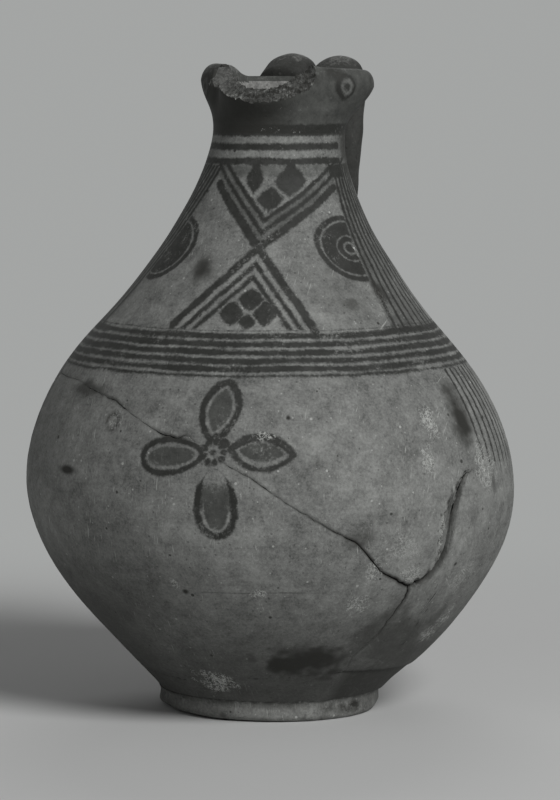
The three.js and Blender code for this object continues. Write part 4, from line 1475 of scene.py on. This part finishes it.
def handle_coil(name, node, side, finish):
    points = coil_path(side)

    def coil_shape(bearing, share):
        middle = on_path(points, share)
        ahead = on_path(points, min(share + COIL_STEP, 1)) - on_path(points, max(share - COIL_STEP, 0))
        ahead.normalize()
        wide = Vector((1, 0, 0))
        wide = (wide - ahead * wide.dot(ahead)).normalized()
        thick = ahead.cross(wide)
        dome = math.sqrt(max(COIL_TIP, 1 - max(0, 1 - share / COIL_DOME) ** 2))
        size = dome * (1 + COIL_FLARE * soft_step(share, COIL_FLARE_FROM, 1))
        broad = 1 + COIL_BROADENING * soft_step(share, 1, 0.5)
        angle = math.radians(bearing)
        place = middle + wide * (COIL_WIDTH / 2 * size * broad * math.cos(angle))
        place += thick * (COIL_THICKNESS / 2 * size * math.sin(angle))
        place += (place - middle) * COIL_LUMP * noise.noise(place / COIL_LUMP_LENGTH)
        return leaning(place), 0

    coil = tube(name, COIL_COLUMNS, COIL_ROWS)
    pressed(coil, coil_shape)
    closed_ends(coil)
    edit(coil, (bpy.ops.mesh.normals_make_consistent, {}))
    coated(coil, finish)
    finished(coil, node)


DARK_HANDLE = handle_clay()
handle_coil("rolled_coil_left", "handle_coil_left", -1, DARK_HANDLE)
handle_coil("rolled_coil_right", "handle_coil_right", 1, DARK_HANDLE)

# Studio
# A pale paper floor that runs out on every side into a background of its own grey, one large soft light from
# the front right with two weak ones at the left and behind, and a long lens at the height of the rim.
CAMERA_BEARING = 20
CAMERA_DISTANCE = 1.57
CAMERA_HEIGHT = 0.28
CAMERA_SIDESTEP = 0.00375
CAMERA_PITCH = 5.5
CAMERA_LENS = 169.2
FLOOR_TONE = (0.63, 0.635, 0.63, 1)
BACKGROUND_TONE = (0.37, 0.378, 0.373, 1)
FLOOR_WIDTH, FLOOR_ROUGHNESS = 30, 0.9
PAPER_FROM, PAPER_TO = 0.2, 0.55
LIGHT_TARGET = Vector((0, 0, 0.13))
KEY_LIGHT = {"bearing": 54, "distance": 2.4, "height": 1.85, "size": 1.2, "power": 65}
FILL_LIGHT = {"bearing": -30, "distance": 2.2, "height": 1.2, "size": 1.6, "power": 3.5}
BACK_LIGHT = {"bearing": 195, "distance": 2.2, "height": 1.7, "size": 1.6, "power": 11}
SKY_STRENGTH = 0.06


def seen_instead(tree, plain, background, share, output):
    """Shows camera and reflections a background in place of a plain shader, which still lights the jug."""
    rays = tree.nodes.new("ShaderNodeLightPath").outputs
    seen = Field(tree, rays["Is Camera Ray"])
    for kind in ("Is Glossy Ray", "Is Transmission Ray"):
        seen = seen.most(Field(tree, rays[kind]))
    blend = fed(tree, "ShaderNodeMixShader", Fac=seen * share)
    tree.links.new(plain, blend.inputs[1])
    tree.links.new(background, blend.inputs[2])
    tree.links.new(blend.outputs["Shader"], tree.nodes[output].inputs["Surface"])


def studio_floor():
    floor = added("studio_floor", bpy.ops.mesh.primitive_plane_add, size=FLOOR_WIDTH, location=(0, 0, 0))
    finish, tree, shader, place = new_finish("pale paper floor")
    shader.inputs["Base Color"].default_value = FLOOR_TONE
    shader.inputs["Roughness"].default_value = FLOOR_ROUGHNESS
    x, y = axes(tree, place)[:2]
    far = x.length_with(y).fade(PAPER_FROM, PAPER_TO)
    background = fed(tree, "ShaderNodeEmission", Color=BACKGROUND_TONE)
    seen_instead(tree, shader.outputs["BSDF"], background.outputs["Emission"], far, "Material Output")
    coated(floor, finish)


def studio_world():
    """A weak even sky, with the floor's grey behind the jug."""
    world = bpy.data.worlds.new("studio")
    world.use_nodes = True
    tree = world.node_tree
    sky = tree.nodes["Background"]
    sky.inputs["Color"].default_value = (1, 1, 1, 1)
    sky.inputs["Strength"].default_value = SKY_STRENGTH
    background = fed(tree, "ShaderNodeBackground", Color=BACKGROUND_TONE)
    seen_instead(tree, sky.outputs["Background"], background.outputs["Background"], 1, "World Output")
    return world


def soft_light(name, bearing, distance, height, size, power):
    place = spot(bearing, distance, height)
    light = added(name, bpy.ops.object.light_add, type="AREA", location=place)
    light.data.shape = "DISK"
    light.data.size = size
    light.data.energy = power
    light.rotation_euler = (LIGHT_TARGET - place).to_track_quat("-Z", "Y").to_euler()


studio_floor()
soft_light("key_light", **KEY_LIGHT)
soft_light("fill_light", **FILL_LIGHT)
soft_light("back_light", **BACK_LIGHT)
scene = bpy.context.scene
scene.world = studio_world()
scene.view_settings.view_transform = "Standard"

sidestep = spot(CAMERA_BEARING + 90, CAMERA_SIDESTEP, 0)
camera = added(
    "studio_camera",
    bpy.ops.object.camera_add,
    location=spot(CAMERA_BEARING, CAMERA_DISTANCE, CAMERA_HEIGHT) + sidestep,
    rotation=(math.radians(90 - CAMERA_PITCH), 0, math.radians(CAMERA_BEARING)),
)
camera.data.lens = CAMERA_LENS
scene.camera = camera
